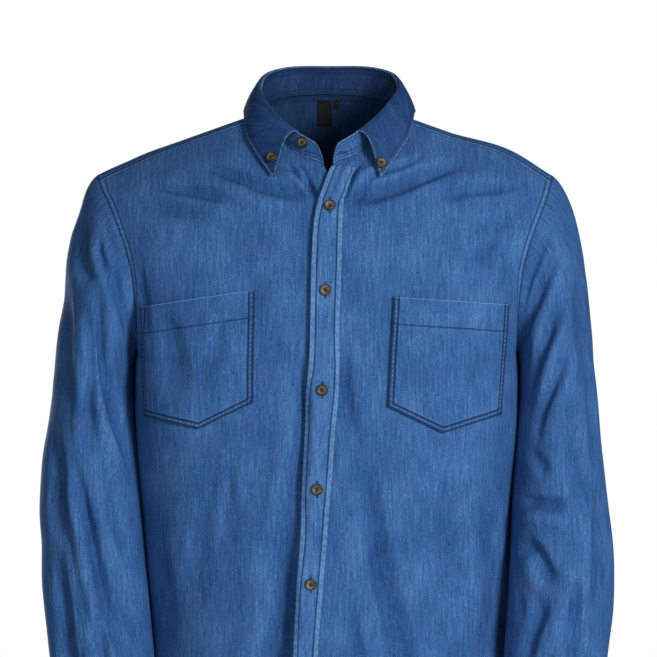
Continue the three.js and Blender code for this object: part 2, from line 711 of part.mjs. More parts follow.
const shirt = new THREE.Group()
shirt.name = 'denim_shirt'
shirt.add(
  cloth('front_right', frontRight),
  cloth('front_left', frontLeft),
  cloth('front_placket', band),
  cloth('back', back),
  cloth('yoke', yoke),
  cloth('sleeve_right', sleeveRight),
  cloth('sleeve_left', sleeveLeft),
  cloth('sleeve_placket_right', slitStrip(sleeveRight)),
  cloth('sleeve_placket_left', slitStrip(sleeveLeft)),
  cloth('cuff_right', cuffRight, denim, cuffWall),
  cloth('cuff_left', cuffLeft, denim, cuffWall),
  cloth('collar_stand', stand),
  cloth('collar_leaf', leaf),
  cloth('pocket_right', pocketRight),
  cloth('pocket_left', pocketLeft),
  cloth('neck_label', label, dark, labelWall),
  cloth('size_tab', tab, dark, labelWall),
  ...buttons,
  onSheet('button_stand', standEnd, -25, -31),
  onSheet('button_leaf_right', leafEnd(-6), -58, -48),
  onSheet('button_leaf_left', leafEnd(0, 6), 56.5, -54),
  onCuff('button_cuff_right', cuffRight),
  onCuff('button_cuff_left', cuffLeft),
)

export default shirt
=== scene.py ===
# %% [markdown]
# # A denim shirt
# This scene dresses the plain solids of a long-sleeved denim shirt. The shirt stands filled out, as it
# is worn, with nobody in it. Each piece that a maker cuts becomes a thin shell of cloth: its outline
# comes from a few sections, its creases are listed one by one, and its stitches follow its own seams.
# Left and right are the wearer's, so the wearer's left is at +X. The front looks towards -Y.

# %% Setting up
import math

import bmesh
import bpy
import numpy as np
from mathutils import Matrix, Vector
from mathutils.bvhtree import BVHTree


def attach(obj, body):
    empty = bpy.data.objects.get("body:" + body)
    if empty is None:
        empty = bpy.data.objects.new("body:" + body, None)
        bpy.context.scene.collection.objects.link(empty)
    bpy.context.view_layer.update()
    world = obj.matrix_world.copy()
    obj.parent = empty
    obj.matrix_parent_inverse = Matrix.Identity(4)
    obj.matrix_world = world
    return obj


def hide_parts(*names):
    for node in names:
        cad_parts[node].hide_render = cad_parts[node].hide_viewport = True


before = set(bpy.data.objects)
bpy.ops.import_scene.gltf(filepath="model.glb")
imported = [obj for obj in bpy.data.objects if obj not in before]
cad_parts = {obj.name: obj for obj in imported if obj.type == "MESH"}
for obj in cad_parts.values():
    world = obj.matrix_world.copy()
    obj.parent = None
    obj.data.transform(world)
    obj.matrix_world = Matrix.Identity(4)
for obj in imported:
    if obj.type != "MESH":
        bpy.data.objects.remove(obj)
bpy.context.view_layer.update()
MM = 0.001
BODY = "root"

# %% [markdown]
# ## Camera
# The picture is a catalogue close-up: a long lens, level with the upper chest, just over three metres
# away. A long lens keeps the collar, which is further back than the buttons, almost at the same scale.

# %% The camera
LENS_MM = 157.8
SENSOR_MM = 36.0
CAMERA_PLACE = (0.0016, -3.130, -0.2285)

camera_data = bpy.data.cameras.new("camera")
camera_data.lens = LENS_MM
camera_data.sensor_width = SENSOR_MM
camera_data.clip_end = 50
camera = bpy.data.objects.new("camera", camera_data)
camera.location = CAMERA_PLACE
camera.rotation_euler = (math.radians(90), 0, 0)
bpy.context.scene.collection.objects.link(camera)
bpy.context.scene.camera = camera
bpy.context.scene.view_settings.view_transform = "Standard"
print("camera at", CAMERA_PLACE)

# %% [markdown]
# ## Light
# Soft studio light: a white room does most of the work, and four large lamps give the cloth its shape.
# The strongest stands to the right of the camera, so the left sleeve of the picture is darker.

# %% Room and lamps
ROOM_STRENGTH = 0.15
LAMPS = [
    ("lamp_key", (1.75, -2.75, 0.3), 0.8, 88.0),
    ("lamp_fill", (-1.3, -3.1, -0.1), 1.4, 14.0),
    ("lamp_top", (0.2, -1.4, 2.2), 1.2, 3.0),
    ("lamp_back", (-1.4, 2.8, -0.1), 1.4, 60.0),
]
AIM = Vector((0, 0, -0.3))


def add_room():
    room = bpy.data.worlds.new("room")
    room.use_nodes = True
    nodes, links = room.node_tree.nodes, room.node_tree.links
    nodes.clear()
    out = nodes.new("ShaderNodeOutputWorld")
    seen = nodes.new("ShaderNodeBackground")
    seen.inputs["Color"].default_value = (1, 1, 1, 1)
    seen.inputs["Strength"].default_value = 1.0
    lit = nodes.new("ShaderNodeBackground")
    lit.inputs["Color"].default_value = (0.96, 0.98, 1, 1)
    lit.inputs["Strength"].default_value = ROOM_STRENGTH
    path = nodes.new("ShaderNodeLightPath")
    mix = nodes.new("ShaderNodeMixShader")
    links.new(path.outputs["Is Camera Ray"], mix.inputs[0])
    links.new(lit.outputs[0], mix.inputs[1])
    links.new(seen.outputs[0], mix.inputs[2])
    links.new(mix.outputs[0], out.inputs[0])
    bpy.context.scene.world = room


def add_lamp(name, place, size, power):
    data = bpy.data.lights.new(name, "AREA")
    data.size = size
    data.energy = power
    lamp = bpy.data.objects.new(name, data)
    lamp.location = place
    lamp.rotation_euler = (AIM - Vector(place)).to_track_quat("-Z", "Y").to_euler()
    bpy.context.scene.collection.objects.link(lamp)


add_room()
for lamp_facts in LAMPS:
    add_lamp(*lamp_facts)
print("lamps", len(LAMPS))

# %% [markdown]
# ## Denim
# Denim is woven from blue warp threads and white weft threads. The warp is uneven, so the cloth shows
# fine upright streaks of lighter and darker blue, and washing bleaches it in soft clouds. Where a seam
# stands proud, the blue is rubbed off. All patterns read the cloth's own map, which is in metres.

# %% Node helpers
def new_material(name):
    material = bpy.data.materials.new(name)
    material.use_nodes = True
    nodes = material.node_tree.nodes
    nodes.clear()
    out = nodes.new("ShaderNodeOutputMaterial")
    shader = nodes.new("ShaderNodeBsdfPrincipled")
    material.node_tree.links.new(shader.outputs[0], out.inputs[0])
    return material, nodes, material.node_tree.links, shader


def math_node(nodes, links, kind, first, second):
    node = nodes.new("ShaderNodeMath")
    node.operation = kind
    for socket, value in zip(node.inputs, (first, second)):
        if isinstance(value, (int, float)):
            socket.default_value = value
        else:
            links.new(value, socket)
    return node.outputs[0]


def noise_on_cloth(nodes, links, per_metre_across, per_metre_along, detail=2.0):
    cloth_map = nodes.new("ShaderNodeUVMap")
    cloth_map.uv_map = "cloth"
    stretch = nodes.new("ShaderNodeMapping")
    stretch.inputs["Scale"].default_value = (per_metre_across, per_metre_along, 1)
    noise = nodes.new("ShaderNodeTexNoise")
    noise.inputs["Scale"].default_value = 1
    noise.inputs["Detail"].default_value = detail
    links.new(cloth_map.outputs[0], stretch.inputs[0])
    links.new(stretch.outputs[0], noise.inputs["Vector"])
    return noise.outputs[0]


def mix_colour(nodes, links, share, first, second):
    node = nodes.new("ShaderNodeMix")
    node.data_type = "RGBA"
    links.new(share, node.inputs[0])
    for socket, value in zip((node.inputs[6], node.inputs[7]), (first, second)):
        if isinstance(value, tuple):
            socket.default_value = value
        else:
            links.new(value, socket)
    return node.outputs[2]


# %% [markdown]
# A sewn edge looks different from the rest: the folded layers make a raised rib, the sewing thread
# draws it into small puckers, and washing rubs the puckers pale while the blue stays in the stitch
# line. Every sheet below carries the distance to its nearest sewn edge, in millimetres, as an
# attribute, so one material can draw all of this.

# %% Profiles across a sewn edge: millimetres from the edge, strength
PROFILE_REACH = 20
# Most ink profiles start dark at nothing millimetres: a dark line at the sewn edge, partly the edge itself
# and partly painted shade where the top layer steps down
SEAM_PALE = [(0, 0.1), (1.8, 0.1), (2.4, 0.35), (4.7, 0.4), (5.4, 0), (7.4, 0), (8.0, 0.1), (10, 0)]
SEAM_INK = [(0, 0.9), (0.6, 0.3), (1.0, 0.75), (1.5, 0.1), (5.6, 0.1), (6.0, 0.8), (6.6, 0.7), (7.2, 0.1)]
POCKET_PALE = [(0, 0.1), (2.4, 0.05), (5.2, 0), (7.6, 0), (8.2, 0.15), (10, 0)]
POCKET_INK = [
    (0, 0.9), (0.5, 0.5), (0.8, 0.95), (1.9, 0.9), (2.6, 0.35), (5.0, 0.35),
    (5.6, 0.95), (6.8, 0.85), (7.6, 0.1),
]
BAND_PALE = [(0, 0.4), (1.0, 0.7), (3.2, 0.5), (4.6, 0.6), (5.2, 0), (9, 0)]
BAND_INK = [(0, 0.6), (0.6, 0), (5.0, 0), (5.5, 0.85), (6.3, 0.7), (7.0, 0.1), (8, 0)]
THIN_PALE = [(0, 1), (1.0, 0.9), (1.7, 0.06), (4.6, 0.05), (5.2, 0.2), (5.6, 0)]
THIN_INK = [(0, 0.1), (1.7, 0.1), (2.2, 0.35), (3.2, 0.1), (5.3, 0.1), (5.8, 0.6), (6.8, 0.1), (8, 0)]
INNER_PALE = [(0, 0.05), (3, 0)]
INNER_INK = [(0, 0.6), (1.5, 0.2), (2.2, 0.8), (3.0, 0.2), (5.9, 0.2), (6.5, 0.8), (7.4, 0)]


def colour_ramp(nodes, links, share, colours):
    """A ramp whose stops are given as place, colour."""
    ramp = nodes.new("ShaderNodeValToRGB")
    stops = ramp.color_ramp.elements
    while len(stops) < len(colours):
        stops.new(0.5)
    for stop, (place, colour) in zip(stops, colours):
        stop.position = place
        stop.color = colour
    links.new(share, ramp.inputs[0])
    return ramp.outputs[0]


def seam_profile(nodes, links, far, profile):
    share = math_node(nodes, links, "DIVIDE", far, PROFILE_REACH)
    greys = [(millimetres / PROFILE_REACH, (grey, grey, grey, 1)) for millimetres, grey in profile]
    return colour_ramp(nodes, links, share, greys)


# %% The denim material
# Patterns in repeats per metre, across the cloth and along it
SLUB = (460, 34)
THREAD = (950, 170)
WEFT = (300, 950)
CLOUD = (24, 17)
TINT = (70, 45)
PUCKER = (240, 240)
DEEP_BLUE = (0.011, 0.050, 0.165, 1)
MID_BLUE = (0.036, 0.122, 0.325, 1)
LIGHT_BLUE = (0.100, 0.240, 0.500, 1)
VIOLET = (0.058, 0.118, 0.335, 1)
RUBBED = (0.170, 0.320, 0.570, 1)
WORN = (0.220, 0.370, 0.620, 1)
INKY = (0.007, 0.022, 0.078, 1)
SHADOW = (0.006, 0.008, 0.020, 1)
BLUE_STOPS = ((0.35, DEEP_BLUE), (0.5, MID_BLUE), (0.65, LIGHT_BLUE))
TINT_SHARE = 0.4
# Painted shade: colour taken off per millimetre of crease depth, and given back as painted light on a
# crease's lip
FOLD_PAINTED_SHADE = 0.008
LEAST_RUBBED = 0.4
RUBBED_HEIGHT = 1.6
BUMP_STRENGTH, BUMP_DISTANCE = 0.5, 0.0006
DENIM_ROUGH, CLOTH_SPECULAR = 0.86, 0.12
# Each pattern of the weave: its repeats, its detail and its weight
WEAVE = ((SLUB, 3, 0.29), (THREAD, 2, 0.23), (WEFT, 2, 0.25), (CLOUD, 4, 0.23))


def spread_noise(nodes, links, scale, low, gain):
    """Noise stretched to cover nothing to one."""
    value = math_node(nodes, links, "SUBTRACT", noise_on_cloth(nodes, links, *scale, detail=1), low)
    value = math_node(nodes, links, "MULTIPLY", value, gain)
    value.node.use_clamp = True
    return value


def attribute(nodes, name):
    node = nodes.new("ShaderNodeAttribute")
    node.attribute_name = name
    return node.outputs["Fac"]


def weave(nodes, links, dark):
    """Light and dark of the cloth: threads, slubs and washed clouds, with painted shade in a fold and painted
    light on its lip.
    """
    total = math_node(nodes, links, "MULTIPLY", attribute(nodes, "fold"), -FOLD_PAINTED_SHADE)
    total = math_node(nodes, links, "SUBTRACT", total, dark)
    for scale, detail, weight in WEAVE:
        part = math_node(nodes, links, "MULTIPLY", noise_on_cloth(nodes, links, *scale, detail), weight)
        total = math_node(nodes, links, "ADD", total, part)
    return total


def make_denim(name, dark=0.0, pale_profile=SEAM_PALE, ink_profile=SEAM_INK, painted_shadow=0.0):
    material, nodes, links, shader = new_material(name)
    streaks = weave(nodes, links, dark)
    washed = colour_ramp(nodes, links, streaks, BLUE_STOPS)
    tint = math_node(nodes, links, "MULTIPLY", spread_noise(nodes, links, TINT, 0.48, 3.5), TINT_SHARE)
    tinted = mix_colour(nodes, links, tint, washed, VIOLET)
    far = attribute(nodes, "seam_far")
    gather = spread_noise(nodes, links, PUCKER, 0.38, 5.0)
    gather = math_node(nodes, links, "MAXIMUM", gather, LEAST_RUBBED)
    pale_share = math_node(nodes, links, "MULTIPLY", seam_profile(nodes, links, far, pale_profile), gather)
    rubbed = mix_colour(nodes, links, pale_share, tinted, RUBBED)
    blue = mix_colour(nodes, links, seam_profile(nodes, links, far, ink_profile), rubbed, INKY)
    # Painted shadow: the colour is mixed this far towards SHADOW
    if painted_shadow:
        share = nodes.new("ShaderNodeValue")
        share.outputs[0].default_value = painted_shadow
        blue = mix_colour(nodes, links, share.outputs[0], blue, SHADOW)
    links.new(blue, shader.inputs["Base Color"])
    shader.inputs["Roughness"].default_value = DENIM_ROUGH
    shader.inputs["Specular IOR Level"].default_value = CLOTH_SPECULAR
    raised = math_node(nodes, links, "MULTIPLY", pale_share, RUBBED_HEIGHT)
    height = math_node(nodes, links, "ADD", raised, streaks)
    bump = nodes.new("ShaderNodeBump")
    bump.inputs["Strength"].default_value = BUMP_STRENGTH
    bump.inputs["Distance"].default_value = BUMP_DISTANCE
    links.new(height, bump.inputs["Height"])
    links.new(bump.outputs[0], shader.inputs["Normal"])
    return material


denim = make_denim("denim")
denim_pocket = make_denim("denim_pocket", 0.0, POCKET_PALE, POCKET_INK)
denim_band = make_denim("denim_band", -0.03, BAND_PALE, BAND_INK)
# The inside faces: the denim darkened and half mixed towards SHADOW, as painted shade
denim_inside_painted_shade = make_denim("denim_inside_painted_shade", 0.12, INNER_PALE, INNER_INK, painted_shadow=0.5)
denim_stand = make_denim("denim_stand", 0.03, THIN_PALE, THIN_INK)
# The collar leaf is darker than the body: partly the cloth's deeper blue, partly painted shade with a small
# mix towards SHADOW
denim_collar = make_denim("denim_collar", 0.13, THIN_PALE, THIN_INK, painted_shadow=0.15)
print("denim made of", len(denim.node_tree.nodes), "nodes")

# %% [markdown]
# ## Thread, horn and label
# The stitches are sewn in navy thread that sinks into the cloth. The buttons are a brown horn plastic
# with cloudy stripes and a soft gloss. The label in the neck is bare dark tape.

# %% Small materials
NAVY = (0.008, 0.022, 0.075, 1)
HORN_RIM = ((0.012, 0.011, 0.010, 1), (0.050, 0.040, 0.028, 1))
HORN_MIDDLE = ((0.050, 0.040, 0.020, 1), (0.215, 0.172, 0.092, 1))
HORN_STOPS = (0.42, 0.66)
HORN_ROUGH = 0.5
TAPE = (0.006, 0.007, 0.010, 1)
DARK_THREAD = (0.008, 0.010, 0.016, 1)
FLOOR_PALE = (0.86, 0.86, 0.85, 1)


def make_plain(name, colour, roughness, pattern_scale, contrast):
    material, nodes, links, shader = new_material(name)
    place = nodes.new("ShaderNodeTexCoord")
    noise = nodes.new("ShaderNodeTexNoise")
    noise.inputs["Scale"].default_value = pattern_scale
    noise.inputs["Detail"].default_value = 3
    links.new(place.outputs["Object"], noise.inputs["Vector"])
    lighter = tuple(min(c * contrast + 0.004, 1) for c in colour[:3]) + (1,)
    links.new(mix_colour(nodes, links, noise.outputs[0], colour, lighter), shader.inputs["Base Color"])
    shader.inputs["Roughness"].default_value = roughness
    shader.inputs["Specular IOR Level"].default_value = CLOTH_SPECULAR
    return material


def make_horn(name, colours):
    material, nodes, links, shader = new_material(name)
    place = nodes.new("ShaderNodeTexCoord")
    stretch = nodes.new("ShaderNodeMapping")
    stretch.inputs["Scale"].default_value = (150, 150, 420)
    stretch.inputs["Rotation"].default_value = (0, 0.5, 0.3)
    noise = nodes.new("ShaderNodeTexNoise")
    noise.inputs["Scale"].default_value = 1
    noise.inputs["Detail"].default_value = 4
    links.new(place.outputs["Object"], stretch.inputs[0])
    links.new(stretch.outputs[0], noise.inputs["Vector"])
    stripes = colour_ramp(nodes, links, noise.outputs[0], list(zip(HORN_STOPS, colours)))
    links.new(stripes, shader.inputs["Base Color"])
    shader.inputs["Roughness"].default_value = HORN_ROUGH
    return material


navy = make_plain("navy_thread", NAVY, 0.7, 900, 1.8)
cross_thread = make_plain("cross_thread", DARK_THREAD, 0.8, 900, 1.5)
tape = make_plain("label_tape", TAPE, 0.75, 1500, 2.4)
pale = make_plain("studio_floor", FLOOR_PALE, 0.9, 3, 1.02)
horn_rim = make_horn("horn_rim", HORN_RIM)
horn_middle = make_horn("horn_middle", HORN_MIDDLE)
print("small materials ready")

# %% [markdown]
# ## The cut of the body
# A shirt's body is told by its sections. Each row below is one section from hem to shoulder, and a
# smooth curve runs through the rows. The side seam and the armhole are lines of their own, because
# two pieces share each of them and must meet there exactly.

# %% Seams shared by two pieces, in millimetres
SIDE_SEAM = np.array([
    [199, 8, -705], [195, 9, -640], [192.5, 10, -560], [197.5, 11, -480],
    [200.5, 7, -400], [202.5, 3, -335], [204, 2.5, -292], [208, 3, -262],
])
UNDERARM = len(SIDE_SEAM) - 1
# How much further out the side seam hangs on each side: z, millimetres
SIDE_SLACK = {
    -1: [
        (-620, 0.5), (-540, 1.2), (-480, 2.6), (-440, 3.0), (-400, 3.8), (-350, 4.0), (-310, 3.6),
        (-285, 2.6), (-262, 0),
    ],
    1: [
        (-700, 1), (-640, 3.2), (-580, 4.4), (-530, 4.0), (-480, 2.2), (-420, 1.4), (-370, 2.2),
        (-310, 2.6), (-285, 2.2), (-262, 0),
    ],
}
FRONT_ARMHOLE = np.array([
    [208, 3, -262], [204, -22, -255], [203.5, -45, -240], [204, -68, -204], [208, -76, -168],
    [215, -74, -142], [219, -70.5, -131], [223, -66, -120], [231, -54, -101], [238, -38, -84],
    [243, -20, -69],
])
BACK_ARMHOLE = np.array([
    [208, 3, -262], [204, 26, -254], [203, 50, -236], [205, 66, -202], [210, 70, -165],
    [219, 64, -130], [231, 52, -97],
])

# %% Sections of the fronts
# over front's edge, under front's edge, y, z, pull at the start x y z, pull at the side x y z
FRONT_ROWS = np.array([
    [-38, -11, -118, -778, 120, 0, 0, 2, -84, -40],
    [-38, -11, -119, -700, 120, 0, 0, 2, -84, -12],
    [-36, -8.5, -122, -600, 122, 0, 0, 1, -84, -5],
    [-30.5, -3, -127, -500, 128, 0, 0, 1, -86, 0],
    [-26, 2.5, -130, -412, 142, 0, 0, 3, -97, 0],
    [-22.5, 6.5, -132, -342, 158, 0, 0, 6, -112, 0],
    [-20.8, 8.5, -132, -300, 165, 0, 0, 4, -114, 0],
    [-19.7, 9.5, -131.5, -272, 166, 0, 0, -2, -108, 0],
    [-18.9, 10, -130.5, -250, 160, 0, 0, -1, -88, 2],
    [-18.2, 10.5, -129, -222, 150, 0, -2, -2, -64, 4],
    [-17.6, 11, -125, -183, 135, 0, -5, -12, -42, 8],
    [-16.3, 12, -118, -145, 118, -2, -10, -28, -30, 10],
    [-13.6, 11, -108, -110, 100, -4, -14, -38, -26, 11],
    [-5.5, 4.5, -98, -82, 88, -6, -17, -41, -25, 11],
    [6.5, -4, -86, -55, 75, -9, -20, -44, -23, 10],
    [30, -30, -73, -44, 60, -13, -19, -45, -21, 10],
    [56, -56, -51, -22, 48, -12, -20, -44, -18, 14],
    [76.5, -76.5, -18, 1, 52, -1, -19, -36, 1, 17],
])
NECK_START = 14
START_PACE = 0.62

# %% Sections of the back
# y and z at the middle, pull x there, pull at the side x y z
BACK_ROWS = np.array([
    [105, -780, 120, 2, 66, -40], [103, -700, 120, 2, 66, -12], [100, -600, 118, 2, 64, -5],
    [96, -500, 118, 1, 62, 0], [97, -410, 122, 0, 64, 0], [105, -342, 125, 0, 70, 0],
    [110, -300, 126, 0, 74, 0], [113, -270, 126, -1, 70, 0], [115, -248, 126, -2, 52, 2],
    [118, -225, 124, -12, 40, 3], [121, -190, 120, -30, 30, 4], [121, -155, 116, -40, 28, 6],
    [115, -112, 112, -48, 28, 6], [105, -72, 100, -31, 24, 7],
])

# %% Columns of the yoke
# Each column runs from the back seam to the neckline or to the front seam: four points, x y z each
YOKE_COLUMNS = np.array([
    [0, 105, -72, 0, 101, -35, 0, 80, 5, 0, 64, 31],
    [42, 104, -73, 42, 99, -38, 44, 76, 0, 40, 58, 28],
    [68, 103, -75, 70, 98, -40, 76, 58, -5, 69, 33, 18],
    [84, 102, -76, 86, 94, -40, 87, 37, 3, 79.5, 6, 6.5],
    [100, 100, -77, 101, 88, -35, 92, 22, 13, 76.5, -18, 1],
    [160, 92, -82, 161, 78, -34, 160, 22, -13, 160, -19, -30],
    [200, 76, -90, 203, 66, -50, 206, 18, -28, 204, -20, -48],
    [231, 52, -97, 239, 38, -72, 249, 8, -51, 243, -20, -69],
])
YOKE_CORNER = 4
FRONT_LAST = len(FRONT_ROWS) - 1
BACK_LAST = len(BACK_ROWS) - 1
YOKE_LAST = len(YOKE_COLUMNS) - 1
print("sections: front", FRONT_LAST + 1, "back", BACK_LAST + 1, "yoke", YOKE_LAST + 1)

# %% [markdown]
# ## Reading a table smoothly
# A table with one row per section is read between its rows with a Catmull-Rom spline, which passes
# through every row. A Bezier curve then sweeps each section across the cloth. Numpy does a whole sheet
# of points at once, which is much faster than a loop over points.

# %% Curves
def read_rows(table, at):
    at = np.atleast_1d(np.asarray(at, float))
    last = len(table) - 1
    i = np.clip(np.floor(at).astype(int), 0, last - 1)
    t = (at - i)[:, None]
    a, b, c, d = (table[np.clip(i + k, 0, last)] for k in (-1, 0, 1, 2))
    return 0.5 * (2 * b + (c - a) * t + (2 * a - 5 * b + 4 * c - d) * t ** 2
                  + (3 * b - a - 3 * c + d) * t ** 3)


def look_up(table, value):
    """Rows read by the value in the first column."""
    table = np.asarray(table, float)
    value = np.atleast_1d(value)
    at = np.interp(value, table[:, 0], np.arange(len(table)))
    return read_rows(table, at)[:, 1:]


def bezier(a, b, c, d, t):
    s = 1 - t
    return a * s ** 3 + 3 * b * s * s * t + 3 * c * s * t * t + d * t ** 3


def ease(t):
    t = np.clip(t, 0, 1)
    return t * t * (3 - 2 * t)


def unit(v):
    return v / np.maximum(np.linalg.norm(v, axis=-1, keepdims=True), 1e-9)


def places(marks, counts):
    """Places along a table, evenly spaced between marks."""
    spans = [np.linspace(a, b, n, endpoint=False) for a, b, n in zip(marks, marks[1:], counts)]
    return np.concatenate(spans + [[marks[-1]]])


# %% How finely the cloth is divided
ROWS = {"low": 132, "middle": 66, "top": 30, "back_high": 60}
COLUMNS = {"front": 104, "yoke_neck": 32, "yoke_wing": 48, "yoke_deep": 30}
FRONT_PLACES = places([0, UNDERARM, NECK_START, FRONT_LAST], [ROWS["low"], ROWS["middle"], ROWS["top"]])
BACK_PLACES = places([0, UNDERARM, BACK_LAST], [ROWS["low"], ROWS["back_high"]])
YOKE_PLACES = places([0, YOKE_CORNER, YOKE_LAST], [COLUMNS["yoke_neck"], COLUMNS["yoke_wing"]])
print("front rows", len(FRONT_PLACES), "yoke columns", 2 * len(YOKE_PLACES) - 1)


# %% Points of the body
def side_end(armhole, side, at):
    at = np.atleast_1d(at)
    low = read_rows(SIDE_SEAM, np.minimum(at, UNDERARM))
    slack_z, slack_x = np.array(SIDE_SLACK[side]).T
    low[:, 0] += np.interp(low[:, 2], slack_z, slack_x)
    high = read_rows(armhole, np.maximum(at - UNDERARM, 0))
    return np.where((at <= UNDERARM)[:, None], low, high) * (side, 1, 1)


def yoke_point(side, column, t):
    c = read_rows(YOKE_COLUMNS, column) * np.tile((side, 1, 1), 4)
    a, b, c2, d = (c[:, None, k:k + 3] for k in (0, 3, 6, 9))
    return bezier(a, b, c2, d, np.atleast_1d(t)[None, :, None])


def front_sheet(side):
    rows = read_rows(FRONT_ROWS, FRONT_PLACES)
    edge = rows[:, 0] if side > 0 else rows[:, 1]
    start = np.stack([edge, rows[:, 2], rows[:, 3]], 1)
    end = side_end(FRONT_ARMHOLE, side, FRONT_PLACES)
    out = start + rows[:, 4:7] * (side, 1, 1)
    back = end + rows[:, 7:10] * (side, 1, 1)
    u = np.linspace(0, 1, COLUMNS["front"] + 1)
    t = (u * (START_PACE + (1 - START_PACE) * u))[None, :, None]
    points = bezier(start[:, None], out[:, None], back[:, None], end[:, None], t)
    seam = yoke_point(side, YOKE_CORNER + u * (YOKE_LAST - YOKE_CORNER), 1)[:, 0]
    pull = ease(FRONT_PLACES - FRONT_LAST + 1)[:, None, None]
    return points + pull * (seam - points[-1])[None]


def back_half(side):
    rows = read_rows(BACK_ROWS, BACK_PLACES)
    start = np.stack([0 * rows[:, 0], rows[:, 0], rows[:, 1]], 1)
    out = start + np.stack([side * rows[:, 2], 0 * rows[:, 2], 0 * rows[:, 2]], 1)
    end = side_end(BACK_ARMHOLE, side, BACK_PLACES)
    back = end + rows[:, 3:6] * (side, 1, 1)
    u = YOKE_PLACES / YOKE_LAST
    points = bezier(start[:, None], out[:, None], back[:, None], end[:, None], u[None, :, None])
    seam = yoke_point(side, YOKE_PLACES, 0)[:, 0]
    pull = ease(BACK_PLACES - BACK_LAST + 1)[:, None, None]
    return points + pull * (seam - points[-1])[None]


def both_halves(right, left):
    """Columns from the wearer's left side over the middle to the right side."""
    return np.concatenate([left[:, ::-1], right[:, 1:]], 1)


def yoke_sheet():
    t = np.linspace(0, 1, COLUMNS["yoke_deep"] + 1)
    halves = [yoke_point(side, YOKE_PLACES, t).transpose(1, 0, 2) for side in (-1, 1)]
    return both_halves(*halves)


# %% [markdown]
# ## Sleeves
# A sleeve starts on the same line as the armhole, so it uses the very points of that line. Each of its
# columns leaves the armhole outwards and comes down onto the first ring below the arm. From there a
# table of rings carries the cloth down to the cuff. The arm hangs a little forward of the body.

# %% Sections of the sleeves
# z, centre x, centre y, half width, half depth
SLEEVE_ROWS = {
    -1: np.array([
        [-300, 252, -8, 44.5, 76], [-350, 253.5, -14, 49.5, 71], [-415, 254.2, -24, 53.2, 65],
        [-470, 251.7, -32, 54.3, 62], [-524, 246.2, -40, 55.2, 60], [-585, 239, -50, 54.5, 58],
        [-628, 236, -56, 52, 53], [-650, 234, -59, 42, 42],
    ]),
    1: np.array([
        [-300, 249.8, -8, 42.2, 76], [-350, 250, -14, 46.5, 71], [-415, 251.2, -24, 51.7, 65],
        [-470, 252.8, -32, 54.8, 62], [-524, 251.5, -40, 55.5, 60], [-585, 244.8, -50, 54.8, 58],
        [-628, 241, -56, 52, 53], [-650, 239, -59, 42, 42],
    ]),
}
CAP_OUT, CAP_ROUND, CAP_DOWN = 0.8, 0.35, 0.6
CAP_START, CAP_END, CAP_LEAN = 0.18, 0.4, 0.08
SLEEVE_STEPS = {"cap": 56, "arm": 112}


def armhole_line(side):
    above = FRONT_PLACES >= UNDERARM
    front = side_end(FRONT_ARMHOLE, side, FRONT_PLACES[above])[:-1]
    t = np.linspace(1, 0, COLUMNS["yoke_deep"] + 1)
    top = yoke_point(side, YOKE_LAST, t)[0]
    back = side_end(BACK_ARMHOLE, side, BACK_PLACES[BACK_PLACES >= UNDERARM])[:-1][::-1][:-1]
    return np.concatenate([front, top, back])


def ring(side, row, share):
    angle = 2 * np.pi * share
    x = side * (row[..., 1:2] - row[..., 3:4] * np.cos(angle))
    y = row[..., 2:3] - row[..., 4:5] * np.sin(angle)
    return np.stack([x, y, np.broadcast_to(row[..., 0:1], x.shape)], -1)


def sleeve_sheet(side):
    line = armhole_line(side)
    steps = np.linalg.norm(np.roll(line, -1, 0) - line, axis=1)
    share = np.concatenate([[0], np.cumsum(steps)[:-1]]) / steps.sum()
    end = ring(side, SLEEVE_ROWS[side][0][None], share[None])[0]
    far = np.linalg.norm(end - line, axis=1)[:, None]
    outwards = (0.5 - 0.5 * np.cos(2 * np.pi * share))[:, None]
    leave = unit(np.concatenate([
        side * CAP_OUT * (0.8 + 0.2 * outwards),
        -CAP_ROUND * np.sin(2 * np.pi * share)[:, None],
        np.full_like(outwards, -CAP_DOWN)], 1))
    land = end + np.concatenate([-side * CAP_LEAN * outwards, 0 * far, 1 + 0 * far], 1) * far * CAP_END
    t = np.linspace(0, 1, SLEEVE_STEPS["cap"] + 1)[:, None, None]
    cap = bezier(line[None], (line + leave * far * CAP_START)[None], land[None], end[None], t)
    at = np.linspace(0, 1, SLEEVE_STEPS["arm"] + 1)[1:] * (len(SLEEVE_ROWS[side]) - 1)
    arm = ring(side, read_rows(SLEEVE_ROWS[side], at), share[None])
    return np.concatenate([cap, arm]), share


# %% The six main sheets
class Sheet:
    """A sheet of cloth: rows of points in millimetres, and which way its outer face looks."""

    def __init__(self, rows, side, closed=False):
        self.rows = rows
        self.side = side
        self.closed = closed
        self.fold = np.zeros(rows.shape[:2])
        self.calm = rows

    def normals(self):
        if self.closed:
            along = np.roll(self.rows, -1, 1) - np.roll(self.rows, 1, 1)
        else:
            along = np.gradient(self.rows, axis=1)
        return unit(np.cross(along, np.gradient(self.rows, axis=0))) * self.side


SLEEVE_SHARE = {}
sleeve_grids = {}
for arm_side in (-1, 1):
    sleeve_grids[arm_side], SLEEVE_SHARE[arm_side] = sleeve_sheet(arm_side)
front_right = Sheet(front_sheet(-1), -1)
front_left = Sheet(front_sheet(1), 1)
back = Sheet(both_halves(back_half(-1), back_half(1)), 1)
yoke = Sheet(yoke_sheet(), 1)
sleeve_right = Sheet(sleeve_grids[-1], 1, closed=True)
sleeve_left = Sheet(sleeve_grids[1], -1, closed=True)
BODY_SHEETS = [front_right, front_left, back, yoke, sleeve_right, sleeve_left]
print("points in the six sheets:", sum(s.rows.shape[0] * s.rows.shape[1] for s in BODY_SHEETS))

# %% [markdown]
# ## Shoulders that are not quite alike
# Cloth never hangs the same on both sides. A nudge moves the points near one place by a small amount
# that fades out with distance, so the seams there still meet.

